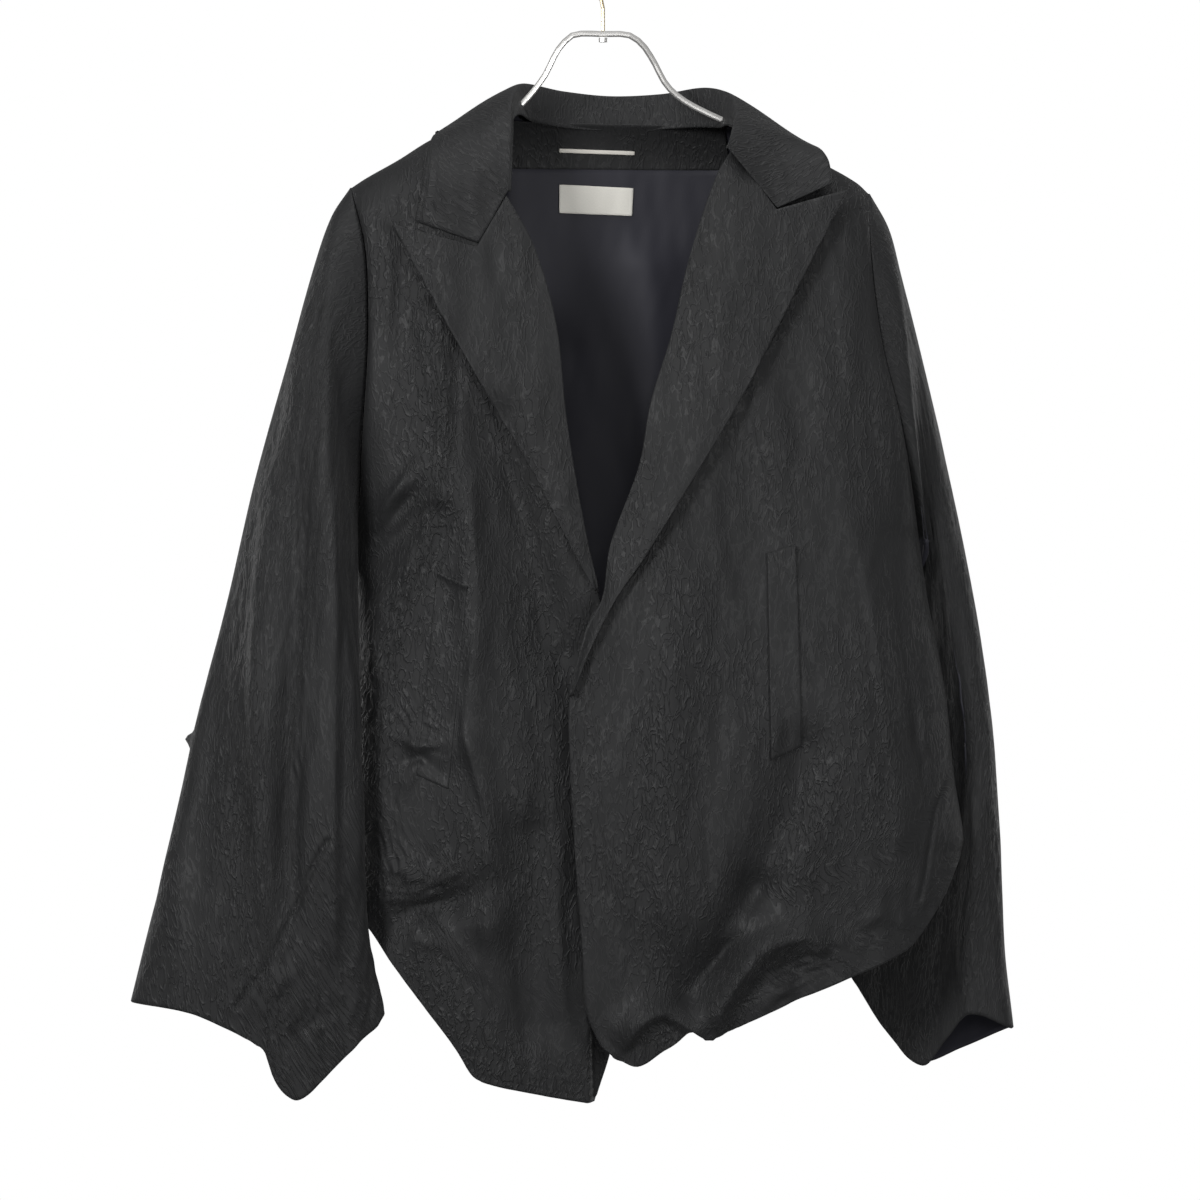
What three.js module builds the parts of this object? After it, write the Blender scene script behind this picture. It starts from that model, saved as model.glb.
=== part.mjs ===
import * as THREE from 'three';

// A jacquard jacket with wide kimono sleeves and peak lapels, hung on a metal hanger.
// Sizes are in millimetres. X runs to the viewer's right, Z is up and the front faces -Y.
// The origin is the top of the hook's inside, where it hangs on a rail.
// Left and right are the viewer's.

// Driving sizes
const CLOTH = 2.0; // wall of the outer cloth
const FACING = 1.4; // wall of lapels, collar and welts
const LINING = 1.0; // wall of the lining
const SEAM_GAP = 0.3; // clear space where two pieces are sewn together
const ARMHOLE_GAP = 1.1; // the same round the armhole, where the two walls lean on each other
const YAW = 0.14; // the garment's left side hangs nearer to the viewer: shift in y for each mm of x
const SHOULDER_ROUND = 60; // how far below the shoulder seam the cloth reaches its full depth
const UNDERARM = -480; // height of the underarm point
const ARMHOLE_FULLNESS = 0.6; // depth of the armhole, as a share of the body's
const ARMHOLE_OPENS = 150; // height over the underarm where the armhole has that depth
const LAP = 22; // how far the left front sinks back under the right front
const LAP_FROM = -440; // height where it starts to sink
const LAP_FULL = -620; // height where it has sunk all the way
const FRONT_BLUNT = [2.6, 2.4]; // exponents of the front's cross section, left and right
const BACK_BLUNT = [2.2, 1.5]; // the same behind
const FOLDS_START = 25; // folds fade in over this distance from the side edges
const FOLDS_DROP = 50; // and over this distance from the shoulder seam
const COLLAR_LIFT = 4; // how far the collar's leaf stands off the fronts and back
const HANGER_SEAT = 1.2; // clear space between the shoulder's inside and the rod
const HANGER_ROD = 2.5; // radius of the hanger's rod
const HOOK_WIRE = 1.6; // radius of the hook's wire
const HOOK_RADIUS = 20; // centre line of the hook's round
const CENTRE = 16; // x of the garment's middle
const NECK_LEFT = -76; // x where the left shoulder seam ends at the neck
const NECK_RIGHT = 110; // the same on the right
const UNDERARM_GAP = 1.6; // clear space between body and sleeve at the underarm
const STAND_LEAN = 2.2; // how far the collar's stand leans in at the neck seam
const LEAF_SPRING = 8; // how far the collar's leaf arches up behind the neck
const NECK_MIDDLE = 10; // y of the neck's middle
const LEAF_LOOKS_UP = 30; // how far the collar's leaf faces up as well as outwards
const GORGE_SHARE = 0.14; // share of the collar, from each end, that the gorge bends
const LAPEL_CLEAR = 1.3; // clear space between a lapel's inside and its front
const LAPEL_FLATTENS = 0.6; // share of the lapel's stand-off that is gone at its lower end
const CUFF_PULL = 0.35; // share of the cuff's drop that the section above it takes
const SHOULDER_RIM = [0.5, 0.86]; // direction of the wall's rim at the shoulder seam: outwards, up
const TIP_RIM = [0.6, 0.8]; // the same at the shoulder's tip

// Shoulder seam seen from the front: x, z
const SHOULDER_LINE = [
  [-205, -197], [-193, -189], [-167, -174], [-142, -158], [-109, -142], [-77, -127],
  [-40, -120], [0, -118], [60, -118], [90, -126],
  [111, -138], [137, -152], [162, -165], [186, -176], [209, -189], [219, -198],
];

// Side edges of the body: z, x
const LEFT_SIDE = [
  [-783, -206], [-700, -206], [-620, -205], [-540, -203], [-480, -200], [-400, -195],
  [-345, -191], [-300, -190], [-245, -193], [-197, -205],
];
const RIGHT_SIDE = [
  [-741, 296], [-729, 298], [-707, 295], [-678, 290], [-610, 283], [-531, 268],
  [-477, 260], [-426, 252], [-376, 242], [-334, 231], [-285, 223], [-240, 219], [-198, 219],
];

// Half depth of the body, front and back: z, depth
const FRONT_DEPTH = [
  [-950, 58], [-850, 72], [-700, 84], [-600, 84], [-480, 78], [-350, 68], [-250, 54], [-120, 44],
];
const BACK_DEPTH = [[-950, 70], [-850, 78], [-700, 84], [-500, 82], [-350, 76], [-200, 66], [-120, 60]];

// Curves of the left front, x and z
const LEFT_INNER = [
  [-77, -127], [-81, -165], [-79, -207], [-57, -248], [-39, -311], [-30, -392], [-15, -480], [-5, -525],
  [12, -600], [20, -700], [18, -800], [8, -890], [-7, -946],
];
const LEFT_HEM = [
  [-7, -946], [-52, -939], [-76, -933], [-101, -927], [-113, -916], [-134, -890], [-166, -849], [-191, -804],
  [-206, -783],
];

// Curves of the right front, x and z
const RIGHT_INNER = [
  [111, -138], [106, -167], [93, -190], [71, -257], [56, -321], [40, -373], [30, -426], [7, -490], [0, -533],
  [-12, -556], [-26, -609], [-26, -664], [-22, -738], [-16, -820], [-14, -861], [-2, -894], [7, -904],
];
const RIGHT_HEM = [
  [7, -904], [27, -915], [43, -908], [73, -886], [84, -893], [108, -882], [133, -872], [157, -859],
  [182, -850], [208, -838], [239, -824], [257, -812], [280, -776], [296, -741],
];

// Curves of the back, x and z
const BACK_NECK = [
  [-77, -127], [-68, -136], [-40, -143], [0, -145], [40, -144], [80, -143], [102, -141], [111, -138],
];
const BACK_HEM = [[-206, -783], [-120, -832], [30, -862], [200, -820], [268, -780], [296, -741]];

// Lapels, x and z: the roll line is the front's own edge
const LEFT_LAPEL_TOP = [[-79, -207], [-102, -248], [-169, -230]];
const LEFT_LAPEL_EDGE = [
  [-169, -230], [-153, -261], [-111, -336], [-75, -399], [-56, -431], [-35, -472], [-20, -501], [-7, -524],
];
const RIGHT_LAPEL_TOP = [[106, -168], [141, -216], [201, -197]];
const RIGHT_LAPEL_EDGE = [
  [201, -197], [192, -213], [153, -289], [111, -371], [69, -441], [33, -499], [11, -531], [-9, -570],
  [-24, -608],
];

// Collar: stations from the left front end, round the back, to the right front end.
// fold is the top fold, edge the leaf's free edge, and drop the height of the stand.
const COLLAR = [
  { fold: [-77, -63, -201], edge: [-152, -62, -226], drop: 1 },
  { fold: [-76, -62, -176], edge: [-145, -52, -190], drop: 5 },
  { fold: [-75, -52, -150], edge: [-142, -34, -164], drop: 9 },
  { fold: [-74, -27, -122], edge: [-133, -4, -148], drop: 4 },
  { fold: [-65, 12, -106], edge: [-116, 42, -152], drop: 19 },
  { fold: [-32, 46, -109], edge: [-66, 66, -174], drop: 27 },
  { fold: [6, 58, -112], edge: [0, 74, -184], drop: 30 },
  { fold: [48, 60, -110], edge: [62, 80, -184], drop: 30 },
  { fold: [84, 44, -106], edge: [122, 72, -172], drop: 27 },
  { fold: [105, 18, -116], edge: [160, 50, -156], drop: 19 },
  { fold: [108, -6, -134], edge: [176, 16, -160], drop: 5 },
  { fold: [105, -26, -150], edge: [184, -8, -172], drop: 8 },
  { fold: [102, -42, -164], edge: [187, -22, -192], drop: 1 },
];
const LEFT_GORGE = [-100.5, -64, -243.5];
const RIGHT_GORGE = [142, -35, -213];

// Sleeves: sections from the shoulder to the cuff. out and in are the outer and inner edge,
// front and back are how far the cloth bulges from the line between them, and at is where along
// that line, from out to in, the front bulges most.
const SLEEVE_LEFT = [
  { out: [-221, -38, -221], in: [-203, -40, -488], front: 44, back: 36, at: 0.5 },
  { out: [-235, -44, -262], in: [-200.5, -57, -506], front: 50, back: 38, at: 0.5 },
  { out: [-257, -50, -336], in: [-198, -76, -540], front: 48, back: 38, at: 0.5 },
  { out: [-285, -58, -435], in: [-196, -87, -580], front: 44, back: 38, at: 0.5 },
  { out: [-308, -62, -533], in: [-195, -93, -630], front: 40, back: 38, at: 0.5 },
  { out: [-334, -66, -631], in: [-195, -96, -690], front: 38, back: 40, at: 0.5 },
  { out: [-355, -68, -730], in: [-195, -96, -755], front: 36, back: 42, at: 0.5 },
  { out: [-372, -68, -800], in: [-194, -92, -805], front: 34, back: 40, at: 0.5 },
  { out: [-385, -68, -857], in: [-181, -82, -868], front: 34, back: 36, at: 0.5 },
];
const SLEEVE_RIGHT = [
  { out: [236, 38, -226], in: [267, 42, -487], front: 39, back: 46, at: 0.5 },
  { out: [246, 44, -262], in: [267, 52, -499], front: 39, back: 47, at: 0.48 },
  { out: [262, 54, -336], in: [262, 70, -519], front: 39, back: 45, at: 0.44 },
  { out: [284, 64, -435], in: [255, 96, -556], front: 40, back: 40, at: 0.36 },
  { out: [303, 72, -533], in: [242, 118, -612], front: 42, back: 36, at: 0.28 },
  { out: [317, 78, -631], in: [228, 132, -674], front: 44, back: 32, at: 0.26 },
  { out: [324, 80, -730], in: [214, 134, -736], front: 44, back: 28, at: 0.26 },
  { out: [328, 80, -815], in: [206, 132, -792], front: 42, back: 26, at: 0.28 },
  { out: [335, 78, -883], in: [207, 124, -845], front: 38, back: 24, at: 0.3 },
];

// Hem of each cuff: share of the way from out to in, and z. Behind, the right one hangs lower.
const CUFF_LEFT = [
  [0, -857], [0.22, -868], [0.46, -888], [0.58, -915], [0.7, -938], [0.82, -930], [0.96, -880], [1, -868],
];
const CUFF_RIGHT = [[0, -883], [0.28, -873], [0.45, -893], [0.62, -914], [0.8, -890], [1, -845]];
const CUFF_RIGHT_BEHIND = [[0, -883], [0.3, -899], [0.62, -914], [0.8, -890], [1, -845]];

// Folds: a soft ridge (rise over 0) or trough along a line from x0, z0 to x1, z1
const LEFT_FOLDS = [
  { x0: -134, z0: -311, x1: -131, z1: -449, width: 15, rise: 5 },
  { x0: -131, z0: -449, x1: -187, z1: -587, width: 15, rise: 5 },
  { x0: -86, z0: -392, x1: -43, z1: -574, width: 22, rise: -10 },
  { x0: -106, z0: -440, x1: -111, z1: -643, width: 16, rise: 6 },
  { x0: -106, z0: -660, x1: -93, z1: -794, width: 18, rise: 7 },
  { x0: -60, z0: -725, x1: -55, z1: -875, width: 20, rise: -9 },
  { x0: -187, z0: -474, x1: -146, z1: -426, width: 11, rise: 5 },
  { x0: -185, z0: -500, x1: -140, z1: -462, width: 11, rise: -5 },
  { x0: -179, z0: -800, x1: -93, z1: -763, width: 14, rise: -6 },
  { x0: -160, z0: -205, x1: -158, z1: -330, width: 12, rise: -4 },
];
const RIGHT_FOLDS = [
  { x0: 164, z0: -656, x1: 124, z1: -769, width: 22, rise: -9 },
  { x0: 124, z0: -769, x1: 70, z1: -850, width: 16, rise: -9 },
  { x0: 124, z0: -819, x1: 95, z1: -869, width: 11, rise: 8 },
  { x0: 140, z0: -806, x1: 170, z1: -816, width: 12, rise: 7 },
  { x0: 62, z0: -520, x1: 44, z1: -780, width: 34, rise: 6 },
  { x0: 205, z0: -480, x1: 232, z1: -760, width: 30, rise: 6 },
  { x0: 110, z0: -420, x1: 118, z1: -600, width: 30, rise: -4 },
];
const BACK_FOLDS = [
  { x0: -120, z0: -260, x1: -150, z1: -700, width: 24, rise: -8 },
  { x0: -40, z0: -330, x1: -70, z1: -800, width: 28, rise: 8 },
  { x0: 40, z0: -260, x1: 50, z1: -780, width: 26, rise: -8 },
  { x0: 120, z0: -330, x1: 160, z1: -780, width: 28, rise: 8 },
];

// Numbers of steps in each mesh
const FRONT_STEPS = [14, 28];
const BACK_STEPS = [20, 24];
const SLEEVE_ROUND = 26;
const SLEEVE_RINGS = 18;
const LAPEL_STEPS = [6, 18];
const COLLAR_STEPS = [34, 9];
const STAND_ROWS = 3; // rows of the collar's mesh that are its stand
const EDGE_TIGHTEN = { front: 1.5, back: 1.35, top: 1.6 }; // how far mesh rows crowd at the edges

const clamp = (value, low, high) => Math.min(high, Math.max(low, value));
const lerp = (a, b, t) => a + (b - a) * t;
const mix = (a, b, t) => a.map((value, axis) => lerp(value, b[axis], t));
const smooth = (from, to, value) => {
  const t = clamp((value - from) / (to - from), 0, 1);
  return t * t * (3 - 2 * t);
};

// Value between the rows [key, value] of a table, on a smooth curve. Keys rise.
function lookup(rows, key) {
  const last = rows.length - 1;
  const at = clamp(key, rows[0][0], rows[last][0]);
  let row = 0;
  while (row < last - 1 && rows[row + 1][0] < at) row += 1;
  const slope = (index) => {
    const before = rows[Math.max(index - 1, 0)];
    const after = rows[Math.min(index + 1, last)];
    return (after[1] - before[1]) / (after[0] - before[0]);
  };
  const width = rows[row + 1][0] - rows[row][0];
  const t = (at - rows[row][0]) / width;
  const startShare = (1 + 2 * t) * (1 - t) ** 2;
  const endShare = t * t * (3 - 2 * t);
  const bend = t * (1 - t) ** 2 * slope(row) - t * t * (1 - t) * slope(row + 1);
  return startShare * rows[row][1] + endShare * rows[row + 1][1] + width * bend;
}

// Point on a smooth curve through the rows, t from 0 to 1 by length
function path(rows) {
  const lengths = [0];
  for (let row = 1; row < rows.length; row += 1) {
    const step = Math.hypot(...rows[row].map((value, axis) => value - rows[row - 1][axis]));
    lengths.push(lengths[row - 1] + step);
  }
  const total = lengths[lengths.length - 1];
  const columns = rows[0].map((_, axis) => rows.map((row, index) => [lengths[index], row[axis]]));
  return (t) => columns.map((column) => lookup(column, t * total));
}

// Straight lines through the rows, each for an equal share of t
function polyline(rows) {
  return (t) => {
    const row = Math.min(rows.length - 2, Math.floor(t * (rows.length - 1)));
    return mix(rows[row], rows[row + 1], t * (rows.length - 1) - row);
  };
}

// Surface filled in between four border curves. u runs along top and bottom, v along inner and outer.
function patch(top, bottom, inner, outer) {
  return (u, v) => top(0).map((_, axis) => {
    const across = lerp(top(u)[axis], bottom(u)[axis], v);
    const along = lerp(inner(v)[axis], outer(v)[axis], u);
    const corners = lerp(lerp(top(0)[axis], top(1)[axis], u), lerp(bottom(0)[axis], bottom(1)[axis], u), v);
    return across + along - corners;
  });
}

const axisY = (x) => YAW * x;
const shoulderZ = (x) => lookup(SHOULDER_LINE, x);

function foldRise(folds, x, z) {
  let rise = 0;
  for (const fold of folds) {
    const dx = fold.x1 - fold.x0;
    const dz = fold.z1 - fold.z0;
    const t = clamp(((x - fold.x0) * dx + (z - fold.z0) * dz) / (dx * dx + dz * dz), 0, 1);
    const away = Math.hypot(x - fold.x0 - t * dx, z - fold.z0 - t * dz);
    rise += fold.rise * Math.exp(-((away / fold.width) ** 2));
  }
  return rise;
}

// Half depth of the body at x, z. The section is blunt in front and sharper behind, most of all at the
// right, where the sleeve hangs behind the body.
function halfDepth(x, z, depths, [leftBlunt, rightBlunt]) {
  const left = lookup(LEFT_SIDE, z);
  const right = lookup(RIGHT_SIDE, z);
  const share = clamp((2 * x - left - right) / (right - left), -1, 1);
  const blunt = share < 0 ? leftBlunt : rightBlunt;
  const round = (1 - Math.abs(share) ** blunt) ** (1 / blunt);
  const below = clamp((shoulderZ(x) - z) / SHOULDER_ROUND, 0, 1);
  const top = Math.sqrt(1 - (1 - below) ** 2);
  const open = clamp((z - UNDERARM) / ARMHOLE_OPENS, 0, 1);
  const arm = ARMHOLE_FULLNESS * Math.sin((Math.PI / 2) * open);
  return lookup(depths, z) * top * (arm + (1 - arm) * round);
}

const foldFade = (x, z) => {
  const side = Math.min(x - lookup(LEFT_SIDE, z), lookup(RIGHT_SIDE, z) - x);
  return smooth(0, FOLDS_START, side) * smooth(0, FOLDS_DROP, shoulderZ(x) - z);
};
const lapDepth = (x, z) => LAP * smooth(LAP_FROM, LAP_FULL, z) * smooth(-110, -10, x);

const leftFrontY = (x, z) => axisY(x) - halfDepth(x, z, FRONT_DEPTH, FRONT_BLUNT) + lapDepth(x, z)
  - foldRise(LEFT_FOLDS, x, z) * foldFade(x, z);
const rightFrontY = (x, z) => axisY(x) - halfDepth(x, z, FRONT_DEPTH, FRONT_BLUNT)
  - foldRise(RIGHT_FOLDS, x, z) * foldFade(x, z);
const backY = (x, z) => axisY(x) + halfDepth(x, z, BACK_DEPTH, BACK_BLUNT)
  + foldRise(BACK_FOLDS, x, z) * foldFade(x, z);

// Mesh from vertices and triangles, with its faces turned outwards
function meshOf(name, vertices, triangles, material) {
  let volume = 0;
  const corner = triangles.map((index) => new THREE.Vector3(...vertices[index]));
  for (let index = 0; index < corner.length; index += 3) {
    volume += corner[index].dot(corner[index + 1].clone().cross(corner[index + 2]));
  }
  const indices = volume < 0 ? triangles.slice().reverse() : triangles;
  const geometry = new THREE.BufferGeometry();
  geometry.setAttribute('position', new THREE.Float32BufferAttribute(vertices.flat(), 3));
  geometry.setIndex(indices);
  geometry.computeVertexNormals();
  const mesh = new THREE.Mesh(geometry, material);
  mesh.name = name;
  return mesh;
}

// Unit normal of a grid of points at row j, column i. around closes the columns into a ring.
function gridNormal(rows, j, i, around) {
  const count = rows[0].length;
  const side = (step) => (around ? (i + step + count) % count : clamp(i + step, 0, count - 1));
  const across = new THREE.Vector3(...rows[j][side(1)]).sub(new THREE.Vector3(...rows[j][side(-1)]));
  const lower = rows[Math.min(j + 1, rows.length - 1)][i];
  const upper = rows[Math.max(j - 1, 0)][i];
  return across.cross(new THREE.Vector3(...lower).sub(new THREE.Vector3(...upper))).normalize();
}

// Closed wall on a grid of points: the points are its outer face, and the inner one lies thickness behind.
// facing(point) gives a direction that the outer face looks to, and rim(j, i) a normal to use instead.
function wall(name, rows, { thickness, facing, material, around = false, rim = () => null }) {
  const count = rows[0].length;
  const outer = rows.flat();
  const inner = rows.flatMap((row, j) => row.map((point, i) => {
    const own = rim(j, i);
    const normal = own ? new THREE.Vector3(...own).normalize() : gridNormal(rows, j, i, around);
    if (!own && normal.dot(new THREE.Vector3(...facing(point, j, i))) < 0) normal.negate();
    return point.map((value, axis) => value - thickness * normal.getComponent(axis));
  }));
  const triangles = [];
  const quad = (a, b, c, d) => triangles.push(a, b, c, a, c, d);
  const shift = outer.length;
  const columns = around ? count : count - 1;
  for (let j = 0; j < rows.length - 1; j += 1) {
    for (let i = 0; i < columns; i += 1) {
      const next = (i + 1) % count;
      const corners = [j * count + i, j * count + next, (j + 1) * count + next, (j + 1) * count + i];
      quad(...corners);
      quad(...corners.map((index) => index + shift).reverse());
    }
  }
  const border = (from, to) => quad(to, from, from + shift, to + shift);
  const end = (rows.length - 1) * count;
  for (let i = 0; i < columns; i += 1) {
    const next = (i + 1) % count;
    border(i, next);
    border(end + next, end + i);
  }
  if (!around) {
    for (let j = 0; j < rows.length - 1; j += 1) {
      border((j + 1) * count, j * count);
      border(j * count + count - 1, (j + 1) * count + count - 1);
    }
  }
  return meshOf(name, [...outer, ...inner], triangles, material);
}

// Rows of points over u and v from 0 to 1
function grid(columns, rowsCount, at) {
  return Array.from({ length: rowsCount + 1 }, (_, j) => (
    Array.from({ length: columns + 1 }, (__, i) => at(i / columns, j / rowsCount))));
}

const closer = (share, power) => 1 - (1 - share) ** power; // steps that tighten towards 1
const outwards = (side, [across, up]) => [across * side, 0, up];

// Round rod through points, with flat ends
function rod(name, points, radius, sides, material) {
  const middles = points.map((point) => new THREE.Vector3(...point));
  const vertices = [];
  const triangles = [];
  let normal = new THREE.Vector3(0, 1, 0);
  middles.forEach((middle, index) => {
    const tangent = middles[Math.min(index + 1, middles.length - 1)].clone()
      .sub(middles[Math.max(index - 1, 0)]).normalize();
    normal = normal.clone().addScaledVector(tangent, -normal.dot(tangent)).normalize();
    const binormal = tangent.clone().cross(normal);
    for (let side = 0; side < sides; side += 1) {
      const turn = (2 * Math.PI * side) / sides;
      vertices.push(middle.clone().addScaledVector(normal, radius * Math.cos(turn))
        .addScaledVector(binormal, radius * Math.sin(turn)).toArray());
    }
  });
  for (let ring = 0; ring < middles.length - 1; ring += 1) {
    for (let side = 0; side < sides; side += 1) {
      const next = (side + 1) % sides;
      const a = ring * sides;
      triangles.push(a + side, a + next, a + sides + next, a + side, a + sides + next, a + sides + side);
    }
  }
  const last = (middles.length - 1) * sides;
  for (let side = 1; side < sides - 1; side += 1) {
    triangles.push(0, side + 1, side, last, last + side, last + side + 1);
  }
  return meshOf(name, vertices, triangles, material);
}

// Materials
const cloth = (color, roughness) => new THREE.MeshStandardMaterial({ color, roughness, metalness: 0 });
const metal = (color, roughness) => new THREE.MeshStandardMaterial({ color, roughness, metalness: 1 });
const jacquard = cloth(0x2b2c2e, 0.7);
const lining = cloth(0x23232c, 0.45);
const cream = cloth(0xdad8cc, 0.8);
const chrome = metal(0xc9cacc, 0.15);
const brass = metal(0xb9a06a, 0.3);

const jacket = new THREE.Group();

// A front: from its inner edge, the roll line and front edge, out to the armhole and side seam
function front(name, inner, side, hem, surfaceY) {
  const [neckX] = inner[0];
  const outward = Math.sign(neckX);
  const beside = SHOULDER_LINE.filter(([x]) => outward * (x - neckX) > 0);
  const seam = path([inner[0], ...(outward < 0 ? beside.reverse() : beside)]);
  const outer = path(side.map(([z, x]) => [x, z]).reverse());
  const flat = patch(seam, path(hem), path(inner), outer);
  const [lastColumn, lastRow] = FRONT_STEPS;
  const rows = grid(lastColumn, lastRow, (u, v) => {
    const [x, z] = flat(closer(u, EDGE_TIGHTEN.front), v ** EDGE_TIGHTEN.top);
    const y = v === 0 ? axisY(x) : surfaceY(x, z);
    return [x, Math.min(y, axisY(x)) - SEAM_GAP / 2, z];
  });
  return wall(name, rows, {
    thickness: CLOTH,
    material: jacquard,
    facing: () => [0, -1, 0],
    rim: (j, i) => {
      if (j === 0 && i === lastColumn) return outwards(outward, TIP_RIM);
      if (j === 0) return outwards(outward, SHOULDER_RIM);
      if (i === lastColumn && rows[j][i][2] < UNDERARM) return [outward, 0, 0];
      return null;
    },
  });
}

jacket.add(front('front_left', LEFT_INNER, LEFT_SIDE, LEFT_HEM, leftFrontY));
jacket.add(front('front_right', RIGHT_INNER, RIGHT_SIDE, RIGHT_HEM, rightFrontY));

// The back: both shoulder seams, the neck curve and both sides
function back() {
  const leftSeam = SHOULDER_LINE.filter(([x]) => x < BACK_NECK[0][0]);
  const rightSeam = SHOULDER_LINE.filter(([x]) => x > BACK_NECK[BACK_NECK.length - 1][0]);
  const top = path([...leftSeam, ...BACK_NECK, ...rightSeam]);
  const leftSide = path(LEFT_SIDE.map(([z, x]) => [x, z]).reverse());
  const rightSide = path(RIGHT_SIDE.map(([z, x]) => [x, z]).reverse());
  const flat = patch(top, path(BACK_HEM), leftSide, rightSide);
  const both = (u) => 0.5 + 0.5 * Math.sign(u - 0.5) * closer(Math.abs(2 * u - 1), EDGE_TIGHTEN.back);
  const besideNeck = (x) => x < NECK_LEFT || x > NECK_RIGHT;
  const [lastColumn, lastRow] = BACK_STEPS;
  const rows = grid(lastColumn, lastRow, (u, v) => {
    const [x, z] = flat(both(u), v ** EDGE_TIGHTEN.top);
    const y = v === 0 && besideNeck(x) ? axisY(x) : backY(x, z);
    return [x, Math.max(y, axisY(x)) + SEAM_GAP / 2, z];
  });
  return wall('back', rows, {
    thickness: CLOTH,
    material: jacquard,
    facing: () => [0, 1, 0],
    rim: (j, i) => {
      const [x, , z] = rows[j][i];
      const outward = Math.sign(x - CENTRE);
      const onSide = i === 0 || i === lastColumn;
      if (j === 0 && onSide) return outwards(outward, TIP_RIM);
      if (j === 0 && besideNeck(x)) return outwards(outward, SHOULDER_RIM);
      if (onSide && z < UNDERARM) return [outward, 0, 0];
      return null;
    },
  });
}

jacket.add(back());

// A sleeve: rings that start at the armhole, fan round the underarm and end at the cuff
function sleeve(name, side, frontY, sections, cuffs, corners) {
  const tip = side[side.length - 1];
  const outward = Math.sign(tip[1]);
  const armhole = (turn) => {
    const drop = (1 - Math.cos(turn)) / 2;
    const z = lerp(tip[0], UNDERARM, drop);
    const x = lookup(side, z);
    const surface = turn <= Math.PI ? frontY : backY;
    const gap = lerp(ARMHOLE_GAP, UNDERARM_GAP, drop ** 3);
    return [x + outward * gap, Math.sin(turn) === 0 ? axisY(x) : surface(x, z), z];
  };
  const section = (row, turn, index) => {
    const middle = mix(row.out, row.in, 0.5);
    const frontPoint = mix(row.out, row.in, row.at);
    frontPoint[1] -= row.front;
    const backPoint = mix(row.out, row.in, 0.5);
    backPoint[1] += row.back;
    const loop = [row.out, frontPoint, row.in, backPoint];
    const quarter = Math.min(3, Math.floor(turn / (Math.PI / 2)));
    const from = loop[quarter];
    const to = loop[(quarter + 1) % 4];
    const local = turn - (quarter * Math.PI) / 2;
    const blunt = lerp(2, corners[quarter], smooth(0, 4, index));
    const fromShare = Math.max(0, Math.cos(local)) ** (2 / blunt);
    const toShare = Math.max(0, Math.sin(local)) ** (2 / blunt);
    return middle.map((value, axis) => (
      value + (from[axis] - value) * fromShare + (to[axis] - value) * toShare));
  };
  const outerX = sections[sections.length - 1].out[0];
  const innerX = sections[sections.length - 1].in[0];
  const columns = Array.from({ length: SLEEVE_ROUND }, (_, i) => {
    const turn = (2 * Math.PI * i) / SLEEVE_ROUND;
    const stops = [armhole(turn), ...sections.map((row, index) => section(row, turn, index))];
    const last = stops[stops.length - 1];
    const share = clamp((last[0] - outerX) / (innerX - outerX), 0, 1);
    const drop = lookup(turn <= Math.PI ? cuffs.front : cuffs.behind, share) - last[2];
    last[2] += drop;
    stops[stops.length - 2][2] += drop * CUFF_PULL;
    return path(stops);
  });
  const rows = Array.from({ length: SLEEVE_RINGS + 1 }, (_, j) => (
    columns.map((column) => column(j / SLEEVE_RINGS))));
  const middles = rows.map((ring) => (
    [0, 1, 2].map((axis) => ring.reduce((sum, point) => sum + point[axis] / SLEEVE_ROUND, 0))));
  return wall(name, rows, {
    thickness: CLOTH,
    material: jacquard,
    around: true,
    facing: (point, j) => point.map((value, axis) => value - middles[j][axis]),
    rim: (j, i) => (j === 0 && i === 0 ? outwards(outward, TIP_RIM) : null),
  });
}

jacket.add(sleeve('sleeve_left', LEFT_SIDE, leftFrontY, SLEEVE_LEFT,
  { front: CUFF_LEFT, behind: CUFF_LEFT }, [2, 2, 2, 2]));
jacket.add(sleeve('sleeve_right', RIGHT_SIDE, rightFrontY, SLEEVE_RIGHT,
  { front: CUFF_RIGHT, behind: CUFF_RIGHT_BEHIND }, [1.5, 1.2, 1.8, 1.8]));

// A lapel: lies on its front from the roll line, and stands off it more towards its free edge
function lapel(name, inner, firstRow, lastRow, top, edge, surfaceY, stand) {
  const roll = path(inner.slice(firstRow, lastRow + 1));
  const bottom = polyline([inner[lastRow], edge[edge.length - 1]]);
  const flat = patch(polyline(top), bottom, roll, path(edge));
  const lift = FACING + LAPEL_CLEAR;
  const rows = grid(...LAPEL_STEPS, (u, v) => {
    const [x, z] = flat(u, v);
    const rise = lift + stand * Math.sin((Math.PI / 2) * u) * (1 - v * v * LAPEL_FLATTENS);
    return [x, surfaceY(x, z) - SEAM_GAP / 2 - rise, z];
  });
  return wall(name, rows, { thickness: FACING, material: jacquard, facing: () => [0, -1, 0] });
}

jacket.add(lapel('lapel_left', LEFT_INNER, 2, 7, LEFT_LAPEL_TOP, LEFT_LAPEL_EDGE, leftFrontY, 6));
jacket.add(lapel('lapel_right', RIGHT_INNER, 1, 10, RIGHT_LAPEL_TOP, RIGHT_LAPEL_EDGE, rightFrontY, 12));

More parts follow.
